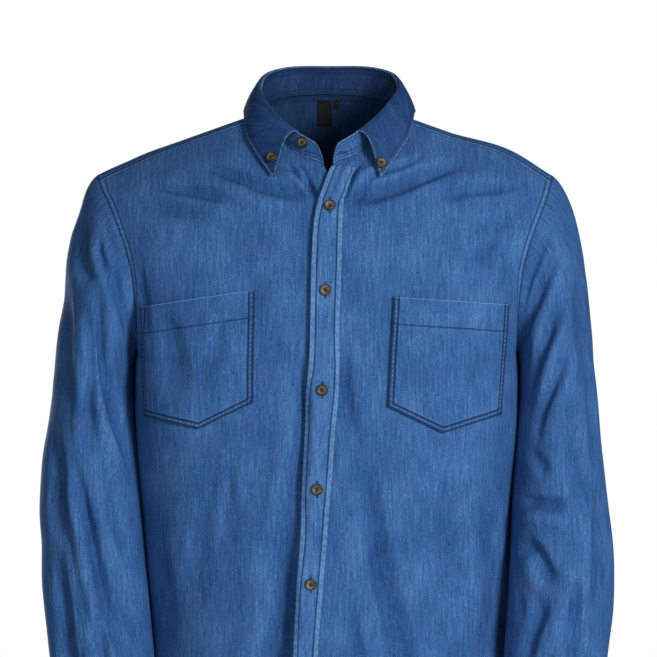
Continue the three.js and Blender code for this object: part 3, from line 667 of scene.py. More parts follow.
# %% Nudges
# centre x, z, reach, move x, move z
NUDGES = [(190, -35, 62, 0, 4.5), (-250, -62, 45, -4, 1)]
for sheet in BODY_SHEETS:
    x, z = sheet.rows[..., 0].copy(), sheet.rows[..., 2].copy()
    for cx, cz, reach, dx, dz in NUDGES:
        weight = np.maximum(1 - ((x - cx) ** 2 + (z - cz) ** 2) / reach ** 2, 0) ** 2
        sheet.rows[..., 0] += dx * weight
        sheet.rows[..., 2] += dz * weight


def weld_normals(sheets):
    """Points shared by two sheets get one direction, so the walls meet without a step."""
    own = [sheet.normals() for sheet in sheets]
    points = np.concatenate([sheet.rows.reshape(-1, 3) for sheet in sheets])
    flat = np.concatenate([n.reshape(-1, 3) for n in own])
    _, index = np.unique(np.round(points * 20).astype(int), axis=0, return_inverse=True)
    sums = np.zeros((index.max() + 1, 3))
    np.add.at(sums, index.ravel(), flat)
    shared = unit(sums)[index.ravel()]
    start = 0
    for sheet, n in zip(sheets, own):
        size = n.shape[0] * n.shape[1]
        sheet.out = shared[start:start + size].reshape(n.shape)
        sheet.own = n
        start += size


weld_normals(BODY_SHEETS)

# %% [markdown]
# ## Creases, listed one by one
# Each crease is a soft trough along a bowed line, with a low lip on one side where the cloth piles up.
# They are long and slack under the collar, steep beside the button band, and bunched at the armholes
# and elbows, each with its own length, width and depth. The hidden back gets similar ones.

# %% Creases: from x, z to x, z, sideways bow, half width, depth, lip
FRONT_CREASES = [
    (-150, -46, -6, -90, 5, 11, 8.0, 0.5), (-206, -66, -92, -92, 3, 9, 6.0, 0.6),
    (-226, -84, -130, -108, 3, 11, 3.0, 0.4), (-200, -78, -120, -112, 4, 14, 2.0, 0.3),
    (160, -44, 6, -94, -6, 12, 9.5, 0.5), (110, -40, 34, -72, -3, 7, 4.5, 0.6),
    (227, -71, 107, -92, 2, 10, 5.5, 0.5), (215, -92, 150, -130, -4, 12, 2.2, 0.3),
    (-49, -52, -8, -94, -4, 5, 5.6, 0.8), (-34, -48, -11, -90, -2, 3.5, 3.8, 0.8),
    (40, -46, 15, -100, 3, 5, 5.0, 0.8), (54, -62, 26, -100, 2, 6, 4.0, 0.6),
    (-27, -250, -38, -460, -6, 14, 9.0, 0.4), (-36, -400, -88, -760, -8, 21, 15.0, 0.35),
    (-56, -500, -72, -640, 3, 9, 3.0, 0.4), (-44, -380, -52, -470, 2, 8, 2.2, 0.4),
    (17, -230, 33, -380, 4, 12, 5.0, 0.35), (28, -344, 94, -690, -6, 19, 9.0, 0.35),
    (44, -430, 74, -560, 3, 9, 3.2, 0.4), (20, -500, 44, -680, -3, 12, 4.0, 0.3),
    (-169, -196, -146, -310, 4, 20, 5.0, 0.3), (-117, -344, -150, -540, -4, 18, 2.8, 0.3),
    (-100, -210, -118, -262, 3, 10, 2.6, 0.4), (-112, -240, -130, -310, 3, 16, 2.0, 0.3),
    (-96, -340, -104, -470, 3, 12, 3.0, 0.3), (120, -350, 150, -560, 5, 20, 4.5, 0.3),
    (100, -352, 108, -440, -2, 12, 2.4, 0.3), (-176, -420, -160, -640, 5, 18, 2.5, 0.3),
    (168, -380, 176, -600, -5, 18, 4.5, 0.3), (-198, -150, -186, -245, 3, 9, 3.4, 0.5),
    (196, -150, 178, -200, -3, 9, 3.4, 0.5), (184, -136, 152, -160, 2, 10, 2.8, 0.4),
    (-110, -600, -132, -730, 4, 18, 5.0, 0.3), (118, -600, 140, -720, -4, 18, 5.0, 0.3),
    (-70, -150, -76, -300, 3, 16, 1.8, 0.2), (62, -140, 56, -300, -3, 16, 1.8, 0.2),
]
BACK_CREASES = [
    (-60, -100, -88, -420, 6, 22, 6.0, 0.3), (64, -110, 96, -400, -6, 24, 6.0, 0.3),
    (-20, -330, -46, -640, 4, 22, 5.5, 0.3), (28, -380, 60, -690, -5, 22, 6.0, 0.3),
    (-150, -260, -120, -520, 8, 20, 6.0, 0.3), (148, -280, 126, -560, -8, 20, 5.5, 0.3),
    (-196, -130, -120, -190, 5, 12, 4.0, 0.4), (194, -140, 124, -180, -5, 12, 4.0, 0.4),
    (-170, -560, -150, -720, 5, 18, 4.5, 0.3), (168, -540, 156, -700, -5, 18, 4.5, 0.3),
    (-8, -90, -14, -280, 3, 14, 2.4, 0.3), (-96, -520, -108, -700, 4, 16, 4.0, 0.3),
    (100, -500, 112, -690, -4, 16, 4.0, 0.3),
]

# %% Creases of the sleeves
SLEEVE_CREASES = {
    -1: [
        (-246, -180, -194, -410, 9, 10, 9.5, 0.7), (-270, -355, -204, -600, 4, 10, 10.0, 0.7),
        (-258, -195, -256, -375, -8, 9, 7.0, 0.6), (-237, -92, -216, -160, 4, 8, 5.5, 0.5),
        (-262, -100, -250, -190, 5, 11, 6.5, 0.4), (-226, -150, -204, -250, 3, 8, 5.5, 0.5),
        (-218, -250, -198, -350, 3, 9, 6.0, 0.4), (-288, -320, -272, -470, 5, 13, 8.0, 0.4),
        (-284, -450, -258, -640, 5, 12, 8.5, 0.5), (-236, -370, -210, -480, 3, 7, 4.5, 0.6),
        (-244, -500, -216, -640, 3, 9, 7.0, 0.5), (-222, -480, -198, -570, 2, 9, 5.5, 0.4),
        (-280, -170, -270, -330, 4, 14, 6.0, 0.3), (-244, -120, -226, -190, 3, 7, 3.5, 0.5),
        (-262, -560, -246, -650, 3, 9, 5.0, 0.4),
    ],
    1: [
        (198, -250, 240, -110, -6, 8, 7.5, 0.7), (196, -306, 247, -134, -7, 9, 8.5, 0.7),
        (206, -345, 256, -180, -6, 8, 7.0, 0.6), (218, -360, 264, -235, -5, 8, 5.0, 0.5),
        (186, -404, 260, -412, 6, 11, 9.0, 0.7), (190, -436, 218, -474, 3, 10, 9.0, 0.5),
        (212, -444, 244, -500, 3, 11, 9.0, 0.5), (196, -478, 206, -545, 2, 10, 7.0, 0.4),
        (262, -326, 272, -415, 4, 14, 6.0, 0.3), (206, -585, 226, -505, 3, 11, 7.5, 0.4),
        (290, -380, 280, -560, -4, 12, 6.5, 0.4), (262, -470, 252, -640, -3, 10, 6.0, 0.5),
        (208, -350, 240, -380, 3, 9, 4.5, 0.4), (272, -150, 280, -300, 4, 13, 5.5, 0.3),
        (278, -260, 284, -390, -3, 9, 4.5, 0.4), (226, -560, 240, -645, -3, 10, 6.0, 0.4),
    ],
}
# How much further a sleeve hangs towards the body: depth below the neck, millimetres
SLEEVE_SLACK = {
    -1: [(250, 0), (290, 0.5), (330, 1.0), (380, 2.0), (440, 2.2), (500, 1.0), (560, 0), (700, 0)],
    1: [
        (250, 0), (280, 1.5), (330, 1.5), (380, 0.5), (440, 0.3), (500, 1.5), (560, 1.5), (610, 0.5),
        (660, 0), (700, 0),
    ],
}


def crease_depth(creases, x, z):
    depth = np.zeros_like(x)
    for x0, z0, x1, z1, bow, half, deep, lip in creases:
        run_x, run_z = x1 - x0, z1 - z0
        length = math.hypot(run_x, run_z)
        t = ((x - x0) * run_x + (z - z0) * run_z) / length ** 2
        waver = 0.12 * half * np.sin(9 * t + 0.05 * x0)
        away = ((x - x0) * run_z - (z - z0) * run_x) / length - bow * 4 * t * (1 - t) + waver
        across = np.abs(away) / (half * (0.75 + 0.5 * ease(t)))
        ends = ease(3.2 * t) * ease(3.2 * (1 - t))
        trough = np.maximum(1 - across ** 2, 0) ** 2
        beside = np.maximum(1 - ((away / half - 1.5) / 1.1) ** 2, 0) ** 2
        depth += deep * (trough - lip * 0.7 * beside) * ends
    return depth


# %% Slack that is too fine for a list
# A few long waves crossing each other, the same on every run
def slack(points, size, seed):
    phases = np.random.default_rng(seed).uniform(0, 2 * np.pi, (6, 2))
    x, y, z = points[..., 0], points[..., 1], points[..., 2]
    total = np.zeros_like(x)
    for k, (first, second) in enumerate(phases):
        wave = 38 + 17 * k
        total += np.sin((x + 0.4 * y) * 2 * np.pi / wave + first + 1.3 * np.sin(z / 90 + second)) \
            * np.sin(z * 2 * np.pi / (2.6 * wave) + second)
    return size * total / 3


def push(sheet, amount):
    sheet.rows = sheet.rows + sheet.out * amount[..., None]


def fade(sheet, rows_low=0.0, rows_high=0.0, columns_last=0.0, columns_first=0.0):
    """A mask that falls to nothing at chosen edges, over a share of the rows or columns."""
    m, n = sheet.rows.shape[:2]
    v = np.linspace(0, 1, m)[:, None]
    u = np.linspace(0, 1, n)[None]
    mask = np.ones((m, n))
    for share, far in ((rows_low, v), (rows_high, 1 - v), (columns_first, u), (columns_last, 1 - u)):
        if share:
            mask = mask * ease(far / share)
    return mask


def crease(sheet, creases, slack_size, seed, mask):
    """Pushes the creases into a sheet and keeps their depth, which the material turns into painted shade in
    the troughs and painted light on the lips.
    """
    sheet.calm = sheet.rows
    sheet.fold = crease_depth(creases, sheet.rows[..., 0], sheet.rows[..., 2]) * mask
    push(sheet, slack(sheet.rows, slack_size, seed) * mask - sheet.fold)


for front in (front_right, front_left):
    crease(front, FRONT_CREASES, 0.5, 3, fade(front, rows_high=0.1, columns_last=0.14))
crease(back, BACK_CREASES, 0.8, 5, fade(back, rows_high=0.1, columns_last=0.08, columns_first=0.08))
for side, sleeve in ((-1, sleeve_right), (1, sleeve_left)):
    facing_body = ease((-side * sleeve.out[..., 0] - 0.72) / 0.23)
    mask = fade(sleeve, rows_low=0.1, rows_high=0.06)
    crease(sleeve, SLEEVE_CREASES[side], 0.7, 7 + side, mask * (1 - facing_body))
    outwards = look_up(SLEEVE_SLACK[side], -sleeve.rows[..., 2].ravel()).reshape(mask.shape)
    push(sleeve, outwards * facing_body)
weld_normals(BODY_SHEETS)

# %% The under front's edge goes behind the over front
TUCK_DEEP = 3.8
TUCK_WIDE = 60.0
neck_row = int(np.argmin(np.abs(FRONT_PLACES - NECK_START)))
low_rows = front_right.rows[:neck_row]
low_rows[..., 1] += TUCK_DEEP * ease((low_rows[..., 0] - low_rows[:, :1, 0] + TUCK_WIDE) / (TUCK_WIDE * 0.4))
print("creases:", len(FRONT_CREASES), len(BACK_CREASES), [len(c) for c in SLEEVE_CREASES.values()])

# %% [markdown]
# ## Collar
# The stand is a band sewn round the neck opening, and the leaf folds over it. Both follow the neckline
# that the fronts and the yoke leave open, so the neckline is gathered from their own edges first. Two
# short tables then tell where the top of the stand and the outer edge of the leaf lie.

# %% Collar tables, by share of the way from the stand's end to the middle of the back
# share, x, y, z
STAND_TOP = [
    (0, 7.5, -85, -34), (0.105, 25, -80, -24), (0.17, 35, -74.5, -17.5), (0.268, 54, -53, 0),
    (0.45, 71, -18, 24), (0.55, 74.5, 6, 35), (0.68, 68, 32, 50), (0.837, 42, 54, 59), (1, 0, 58, 60),
]
LEAF_EDGE = [
    (0.17, 57, -96, -69), (0.24, 75, -74, -43), (0.34, 87, -49, -22), (0.5, 93, -9, 5),
    (0.6, 93, 24, 8), (0.72, 80, 52, 11), (0.86, 46, 73, 15), (1, 0, 79, 17),
]
COLLAR_LEAN = 3.0
LEAF_START = 15.2
LEAF_RISE = 7.0
LEAF_ROLL = 7.0
STAND_STEPS = 14
LEAF_STEPS = 34
COLLAR_COLUMNS = 150
END_ROUND = 0.022
END_LOWEST = 0.12
LEAF_BOW = 4.5
LEAF_BOW_COLUMNS = 9

# %% Neckline, stand and leaf
SEAM = 0.3
wing, neck = COLUMNS["yoke_wing"], COLUMNS["yoke_neck"]
neckline = np.concatenate([
    front_left.rows[neck_row:, 0], yoke.rows[-1, wing + 1:wing + 2 * neck],
    front_right.rows[neck_row:, 0][::-1],
])


def shares_of(line):
    run = np.concatenate([[0], np.cumsum(np.linalg.norm(np.diff(line, axis=0), axis=1))])
    return run / run[-1]


def sample(line, share):
    known = shares_of(line)
    return np.stack([np.interp(share, known, line[:, k]) for k in range(3)], 1)


def collar_points(table, share):
    """Share runs from 0 at the over front's end round the back to 1 at the under front's end."""
    fold = 1 - np.abs(2 * share - 1)
    points = look_up(table, fold)
    points[:, 0] = np.where(share <= 0.5, 1, -1) * points[:, 0] + COLLAR_LEAN * ease(2 * fold - 0.3)
    return points


stand_share = 0.5 - 0.5 * np.cos(np.pi * np.linspace(0, 1, COLLAR_COLUMNS + 1))
stand_share = 0.5 * stand_share + 0.5 * np.linspace(0, 1, COLLAR_COLUMNS + 1)
foot = sample(neckline, stand_share) + (0, 0, 0.35)
head = collar_points(STAND_TOP, stand_share)
from_end = np.minimum(np.minimum(stand_share, 1 - stand_share) / END_ROUND, 1)
end_height = np.sqrt(np.clip(1 - (1 - from_end) ** 2, END_LOWEST, 1))
t = np.linspace(0, 1, STAND_STEPS + 1)[:, None, None]
stand = Sheet(foot + (head - foot) * t * end_height[None, :, None], 1)

start_share = shares_of(neckline)[int(np.argmin(np.abs(FRONT_PLACES[neck_row:] - LEAF_START)))]
leaf_share = np.linspace(start_share, 1 - start_share, COLLAR_COLUMNS + 1)
leaf_top = collar_points(STAND_TOP, leaf_share) + (0, 0, SEAM)
leaf_end = collar_points(LEAF_EDGE, leaf_share)
away = unit((leaf_end - leaf_top) * (1, 1, 0))
leaf_rise = leaf_top + (0, 0, LEAF_RISE) + away * 0.5
leaf_turn = leaf_top + (leaf_end - leaf_top) * 0.25 + away * LEAF_ROLL + (0, 0, LEAF_RISE * 0.9)
t = np.linspace(0, 1, LEAF_STEPS + 1)[:, None, None]
leaf = Sheet(bezier(leaf_top, leaf_rise, leaf_turn, leaf_end, t), -1)
columns_in = np.minimum(np.arange(COLLAR_COLUMNS + 1), np.arange(COLLAR_COLUMNS, -1, -1))
near_end = np.maximum(1 - columns_in / LEAF_BOW_COLUMNS, 0)
leaf.rows[..., 0] += np.sign(leaf.rows[..., 0]) * LEAF_BOW * near_end * np.sin(np.pi * t[..., 0]) ** 2
weld_normals([stand])
weld_normals([leaf])
print("neckline", round(float(np.linalg.norm(np.diff(neckline, axis=0), axis=1).sum())), "mm round")

# %% [markdown]
# ## Pieces laid on the fronts
# The pockets and the button band lie on the fronts, so their points are dropped onto the cloth from
# the front. Blender's BVH tree finds where each ray lands, which is far quicker than asking every face.
# The piece is then lifted off along the cloth's own direction, so it shares the creases underneath.

# %% Finding the cloth below a point
WALL = 1.2
LAYER = WALL + SEAM
FAR_AHEAD = -1000


class Ground:
    """Finds the outer face of a sheet at x, z, looking from the front."""

    def __init__(self, sheet):
        m, n = sheet.rows.shape[:2]
        self.points = sheet.rows.reshape(-1, 3)
        self.out = sheet.out.reshape(-1, 3)
        self.fold = sheet.fold.reshape(-1, 1)
        a = (np.arange(m - 1)[:, None] * n + np.arange(n - 1)[None]).ravel()
        self.faces = np.concatenate([np.stack([a, a + 1, a + n], 1), np.stack([a + 1, a + n + 1, a + n], 1)])
        self.tree = BVHTree.FromPolygons(self.points.tolist(), self.faces.tolist())

    def find(self, spots):
        spots = np.asarray(spots, float)
        hits = [self.face_at(x, z) for x, z in spots.reshape(-1, 2)]
        faces = self.faces[hits]
        a, b, c = (self.points[faces[:, k]][:, [0, 2]] for k in range(3))
        p = spots.reshape(-1, 2)
        area = np.cross(b - a, c - a)
        v = np.cross(p - a, c - a) / area
        w = np.cross(b - a, p - a) / area
        share = np.clip(np.stack([1 - v - w, v, w], 1), -0.5, 1.5)[..., None]
        place = (self.points[faces] * share).sum(1)
        out = unit((self.out[faces] * share).sum(1))
        fold = (self.fold[faces] * share).sum(1)
        shape = spots.shape[:-1]
        return place.reshape(*shape, 3), out.reshape(*shape, 3), fold.reshape(shape)

    def face_at(self, x, z):
        hit = self.tree.ray_cast(Vector((x, FAR_AHEAD, z)), Vector((0, 1, 0)))
        if hit[2] is None:
            near = self.tree.ray_cast(Vector((x * 0.995, FAR_AHEAD, z)), Vector((0, 1, 0)))
            guess = near[0] if near[0] is not None else Vector((x, -100, z))
            hit = self.tree.find_nearest(Vector((x, guess.y, z)))
        return hit[2]


def laid_on(ground, spots, lift, side):
    place, out, fold = ground.find(spots)
    sheet = Sheet(place + out * lift, side)
    sheet.out = out
    sheet.fold = fold
    sheet.own = sheet.normals()
    return sheet


ground_right, ground_left = Ground(front_right), Ground(front_left)

# %% Pockets: inner top, outer top, outer bottom, point, inner bottom, each x, z
POCKET_CORNERS = {
    -1: np.array([[-75, -188.5], [-196, -205.5], [-191.5, -320.8], [-133.7, -333.6], [-77, -305.7]]),
    1: np.array([[69.4, -195.7], [191, -203], [182, -318.9], [120.6, -337.8], [62.7, -309.9]]),
}
POCKET_STEPS = 64
POCKET_LIFT = 1.5
POCKET_HEM = 28.7
PUCKER_SIZE = 0.4
PUCKER_LONG = 6.0


def pocket_spots(corners):
    top_in, top_out, low_out, tip, low_in = corners
    u = np.linspace(0, 1, POCKET_STEPS + 1)[:, None]
    low = np.where(u < 0.5, low_in + (tip - low_in) * 2 * u, tip + (low_out - tip) * (2 * u - 1))
    top = top_in + (top_out - top_in) * u
    return low + (top - low) * np.linspace(0, 1, POCKET_STEPS + 1)[:, None, None]


def puckers(sheet, edges, reach=7.0, seed=0):
    """Small uneven waves along the sewn edges, which fade inwards."""
    across, along = lengths(sheet)
    rng = np.random.default_rng(seed)
    total = np.zeros(sheet.rows.shape[:2])
    for edge in edges:
        run = across if edge in ("low", "high") else along
        far = from_edge(across, along, edge)
        first, second = rng.uniform(0, 6.28, 2)
        wave = np.sin(run * 6.28 / PUCKER_LONG + first + 1.6 * np.sin(run * 6.28 / 37 + second))
        total += PUCKER_SIZE * wave * np.maximum(1 - far / reach, 0)
    return total


def from_edge(across, along, edge):
    """How far each point is from one edge of the sheet, along the cloth."""
    return {"low": along, "high": along[-1:] - along, "first": across, "last": across[:, -1:] - across}[edge]


def lengths(sheet, rows=None):
    """How far each point is from the first column and from the first row, along the cloth."""
    rows = sheet.rows if rows is None else rows
    if sheet.closed:
        rows = np.concatenate([rows, rows[:, :1]], 1)
    across = np.zeros(rows.shape[:2])
    across[:, 1:] = np.cumsum(np.linalg.norm(np.diff(rows, axis=1), axis=2), 1)
    along = np.zeros(rows.shape[:2])
    along[1:] = np.cumsum(np.linalg.norm(np.diff(rows, axis=0), axis=2), 0)
    return across, along


pockets = {}
for side, ground in ((-1, ground_right), (1, ground_left)):
    pocket = laid_on(ground, pocket_spots(POCKET_CORNERS[side]), LAYER + POCKET_LIFT, side)
    push(pocket, puckers(pocket, ("low", "high", "first", "last"), seed=11 + side))
    pockets[side] = pocket

# %% The button band
BAND_TOP = -58
BAND_BOTTOM = -770
BAND_INSET = 0.5
BAND_LIFT = 1.3
BAND_STEPS = (18, 320)
# z and x of the band's far edge
BAND_FAR = np.array([
    [-780, -12.5], [-600, -11], [-490, -3.2], [-386, 5.4], [-295, 11], [-190, 14.5], [-100, 17.5],
    [-78, 21.5], [-58, 28],
])
band_edge = front_left.rows[:, 0][:, [2, 0]]


def band_sides(z):
    return look_up(band_edge, z)[:, 0], look_up(BAND_FAR, z)[:, 0]


band_z = np.linspace(BAND_BOTTOM, BAND_TOP, BAND_STEPS[1] + 1)
near, far = band_sides(band_z)
u = np.linspace(0, 1, BAND_STEPS[0] + 1)[None]
band_x = (near + BAND_INSET)[:, None] * (1 - u) + far[:, None] * u
band = laid_on(ground_left, np.stack([band_x, np.repeat(band_z[:, None], u.shape[1], 1)], -1),
               LAYER + BAND_LIFT, 1)
push(band, puckers(band, ("first", "last"), seed=21))
print("pockets and band laid")

# %% [markdown]
# ## Cuffs and sleeve slits
# A cuff is a stiff straight band that closes on itself with one button, on the outer back side of the
# arm. Its ring is simply turned a little more than once round, so the last part laps over the first.
# The slit above it is bound with a narrow strip taken from the sleeve's own points.

# %% Cuffs and slit strips
CUFF_TOP, CUFF_BOTTOM = -649.9, -716
CUFF_TAPER, CUFF_OVER, CUFF_LAP, CUFF_FROM, CUFF_WALL = 1.5, 0.3, 0.1, 0.66, 1.6
CUFF_STEPS = (130, 22)
SLIT_SHARE = (0.684, 0.722)
SLIT_REACH = (0.545, 0.909)


def cuff_sheet(side):
    last = SLEEVE_ROWS[side][-1]
    t = np.linspace(0, 1, CUFF_STEPS[1] + 1)[:, None]
    s = np.linspace(0, 1, CUFF_STEPS[0] + 1)[None]
    lap = (CUFF_WALL + SEAM + 0.2) * ease((s - 0.5) / (0.5 - CUFF_LAP))
    radius = last[3] + CUFF_OVER + lap - CUFF_TAPER * (1 - t)
    angle = 2 * np.pi * (CUFF_FROM + s * (1 + CUFF_LAP))
    x = side * (last[1] - radius * np.cos(angle))
    y = last[2] - radius * np.sin(angle)
    z = CUFF_BOTTOM + (CUFF_TOP - CUFF_BOTTOM) * t + 0 * angle
    return Sheet(np.stack([x, y, z], -1), side)


def slit_strip(side, sleeve):
    share = SLEEVE_SHARE[side]
    columns = np.flatnonzero((share > SLIT_SHARE[0]) & (share < SLIT_SHARE[1]))
    first, last = (SLEEVE_STEPS["cap"] + round(SLEEVE_STEPS["arm"] * r) for r in SLIT_REACH)
    strip = Sheet(sleeve.rows[first:last, columns] + sleeve.out[first:last, columns] * LAYER, sleeve.side)
    strip.out = sleeve.out[first:last, columns]
    strip.own = strip.normals()
    return strip


cuffs = {side: cuff_sheet(side) for side in (-1, 1)}
strips = {-1: slit_strip(-1, sleeve_right), 1: slit_strip(1, sleeve_left)}
for cuff in cuffs.values():
    weld_normals([cuff])
print("cuffs", round(2 * math.pi * SLEEVE_ROWS[1][-1][3]), "mm round")

# %% [markdown]
# ## From sheets to cloth
# A sheet becomes a thin closed shell: the outer face, an inner face one cloth thickness behind it, and
# narrow edges that join them. A Solidify modifier could do this, but it would thicken shared seams
# unevenly. The same step writes the cloth's map in metres and the distance to its sewn edges.

# %% Closed shells with a cloth map
EDGE_DRAW = 0.2
SIDE_TURN, SIDE_TURN_WIDE = 140, 50
NO_SEAM = 99.0
CLOTH_TURN = 50
LEAST_SLANT = 0.7
pieces = {}


def add_piece(name, mesh, turn_deg):
    """Puts a finished mesh into the scene, smooth up to an edge that turns by turn_deg."""
    mesh.shade_smooth()
    mesh.set_sharp_from_angle(angle=math.radians(turn_deg))
    pieces[name] = bpy.data.objects.new(name, mesh)
    bpy.context.scene.collection.objects.link(pieces[name])


def draw_back(sheet):
    """Edges step back a little, so that neighbours at a seam don't touch."""
    rows = sheet.rows.copy()
    rows[0] += unit(sheet.rows[1] - sheet.rows[0]) * EDGE_DRAW
    rows[-1] += unit(sheet.rows[-2] - sheet.rows[-1]) * EDGE_DRAW
    if not sheet.closed:
        rows[:, 0] += unit(sheet.rows[:, 1] - sheet.rows[:, 0]) * EDGE_DRAW
        rows[:, -1] += unit(sheet.rows[:, -2] - sheet.rows[:, -1]) * EDGE_DRAW
    return rows


def seam_distance(sheet, edges):
    across, along = lengths(sheet)
    far = np.full(along.shape, NO_SEAM)
    for edge in edges:
        far = np.minimum(far, from_edge(across, along, edge))
    return far[:, :sheet.rows.shape[1]]


def shell_faces(m, n, closed, side):
    size = m * n
    i, j = np.meshgrid(np.arange(m - 1), np.arange(n if closed else n - 1), indexing="ij")
    k = (j + 1) % n
    a, b, c, d = i * n + j, i * n + k, (i + 1) * n + k, (i + 1) * n + j
    outer = np.stack([a, b, c, d], -1).reshape(-1, 4)
    faces = [outer, outer[:, ::-1] + size]
    for row, turn in ((0, 1), (m - 1, -1)):
        a, b = row * n + j[0], row * n + k[0]
        faces.append(np.stack([b, a, a + size, b + size], -1)[:, ::turn])
    if not closed:
        for column, turn in ((0, 1), (n - 1, -1)):
            a, b = i[:, 0] * n + column, (i[:, 0] + 1) * n + column
            faces.append(np.stack([a, b, b + size, a + size], -1)[:, ::turn])
    faces = np.concatenate(faces)
    return faces if side > 0 else faces[:, ::-1]


def cloth_places(sheet, upright, middle):
    """The cloth's own map in millimetres, from one column. Upright cloth keeps its warp vertical."""
    rows = sheet.calm
    column = round((sheet.rows.shape[1] - 1 + sheet.closed) * middle)
    if not upright:
        across, along = lengths(sheet, sheet.calm)
        return across - across[:, column:column + 1], along - along[-1:]
    step = np.diff(rows, axis=1)
    turning = ease((np.abs(rows[:, 1:, 0]) - SIDE_TURN) / SIDE_TURN_WIDE)
    across = np.zeros(rows.shape[:2])
    across[:, 1:] = np.cumsum(np.sqrt(step[..., 0] ** 2 + turning * step[..., 1] ** 2), 1)
    across = across * (1 if rows[-1, -1, 0] > rows[-1, 0, 0] else -1)
    across = across - across[:, column:column + 1] + rows[:, column:column + 1, 0]
    return across, rows[..., 2]


def make_cloth(name, sheet, edges, material=denim, inner=denim_inside_painted_shade, thick=WALL, upright=False, middle=0.0):
    m, n = sheet.rows.shape[:2]
    outer = draw_back(sheet)
    slant = np.maximum((sheet.out * sheet.own).sum(-1, keepdims=True), LEAST_SLANT)
    behind = outer - sheet.out * thick / slant
    points = np.concatenate([outer.reshape(-1, 3), behind.reshape(-1, 3)]) * MM
    faces = shell_faces(m, n, sheet.closed, sheet.side)
    mesh = bpy.data.meshes.new(name)
    mesh.from_pydata(points.tolist(), [], faces.tolist())
    across, along = cloth_places(sheet, upright, middle)
    cloth_map = mesh.uv_layers.new(name="cloth")
    loops = np.zeros(len(mesh.loops), int)
    mesh.loops.foreach_get("vertex_index", loops)
    row, column = (loops % (m * n)) // n, loops % n
    if sheet.closed:
        starts = np.repeat(faces.reshape(len(faces), 4) % (m * n) % n, 4, axis=0)
        column = np.where((column == 0) & (starts.max(1) == n - 1), n, column)
    u = across[row, column] * MM
    v = along[row, column] * MM
    cloth_map.data.foreach_set("uv", np.stack([u, v], 1).ravel())
    far = mesh.attributes.new("seam_far", "FLOAT", "POINT")
    far.data.foreach_set("value", np.tile(seam_distance(sheet, edges).ravel(), 2))
    # Crease depth, which the denim paints as shade in the troughs and as light on the lips
    fold = mesh.attributes.new("fold", "FLOAT", "POINT")
    fold.data.foreach_set("value", np.tile(sheet.fold.ravel(), 2))
    mesh.materials.append(material)
    mesh.materials.append(inner)
    outer_faces = (m - 1) * (n if sheet.closed else n - 1)
    kinds = np.zeros(len(faces), int)
    kinds[outer_faces:2 * outer_faces] = 1
    mesh.polygons.foreach_set("material_index", kinds)
    add_piece(name, mesh, CLOTH_TURN)


# %% The cloth pieces
ALL_ROUND = ("low", "high", "first", "last")
ALONG_SIDES = ("first", "last")
POCKET_SEWN = ("low", "first", "last")
for name, sheet in (("front_right_cloth", front_right), ("front_left_cloth", front_left)):
    make_cloth(name, sheet, ("high", "last", "low"), upright=True)
make_cloth("back_cloth", back, ALL_ROUND, upright=True, middle=0.5)
make_cloth("yoke_cloth", yoke, ALL_ROUND, middle=0.5)
for name, sheet in (("sleeve_right_cloth", sleeve_right), ("sleeve_left_cloth", sleeve_left)):
    make_cloth(name, sheet, ALONG_SIDES, middle=0.5)
make_cloth("stand_cloth", stand, ALL_ROUND, denim_stand)
make_cloth("leaf_cloth", leaf, ALL_ROUND, denim_collar)
for side, word in ((-1, "right"), (1, "left")):
    make_cloth(f"pocket_{word}_cloth", pockets[side], POCKET_SEWN, denim_pocket, upright=True)
make_cloth("band_cloth", band, ALONG_SIDES, denim_band, upright=True)
for side, word in ((-1, "right"), (1, "left")):
    make_cloth(f"cuff_{word}_cloth", cuffs[side], ALL_ROUND, thick=CUFF_WALL)
    make_cloth(f"slit_{word}_cloth", strips[side], ALL_ROUND)
print("cloth triangles:", sum(2 * len(p.data.polygons) for p in pieces.values()))

# %% [markdown]
# ## Buttons
# Each button is a turned disc with a raised rim and a sunk middle, four holes, and thread crossing in
# them. The profile is turned round with numpy, and a ring of near-black discs stands for the holes, as
# painted shade. A button lies square to the cloth below it, so its direction comes from the same search
# as the pockets.

# %% Button shape, in millimetres
BUTTON_PROFILE = np.array([
    [0.01, 0], [5.7, 0], [6.15, 0.5], [6.2, 1.2], [5.95, 1.9], [5.5, 2.2], [4.9, 2.15], [4.4, 1.75],
    [3.6, 1.45], [2.4, 1.35], [0.01, 1.35],
])
BUTTON_SIDES = 48
RIM_ENDS = 8
WELD = 1e-6
HOLE_TURNS = [45, 135, 225, 315]
HOLE_FAR, DIAGONAL = 1.5, 1.414
HOLE_PROFILE = np.array([[0.775, 1.0], [0.775, 1.39], [0.01, 1.39]])
HOLE_SIDES = 14
THREAD_WIDE, THREAD_HIGH, THREAD_ARCH = 0.5, 1.3, 0.55
THREAD_RINGS, THREAD_SIDES = 7, 6
BUTTON_TURN = 40
FRONT_BUTTONS = [-99.5, -188.5, -292.5, -396, -495, -597, -700]
CURVED_LIFT = 0.9
# Painted shade: near-black discs stand for the dark insides of the holes
hole_painted_shade = make_plain("button_hole_painted_shade", (0.006, 0.005, 0.005, 1), 0.9, 400, 1.5)


def facing(out, spin):
    """Axes of a small part that stands on a surface, turned by spin about its direction."""
    out = unit(np.asarray(out, float))
    up = unit(np.cross(np.cross(out, (0, 0, 1)), out))
    side = np.cross(up, out)
    c, s = math.cos(spin), math.sin(spin)
    return np.stack([side * c + up * s, up * c - side * s, out])


def turned(profile, sides):
    angle = np.linspace(0, 2 * np.pi, sides, endpoint=False)
    r, h = profile[:, :1], profile[:, 1:]
    points = np.stack([r * np.cos(angle), r * np.sin(angle), h + 0 * angle], -1)
    faces = shell_faces(len(profile), sides, True, 1)[:(len(profile) - 1) * sides]
    return points.reshape(-1, 3), faces


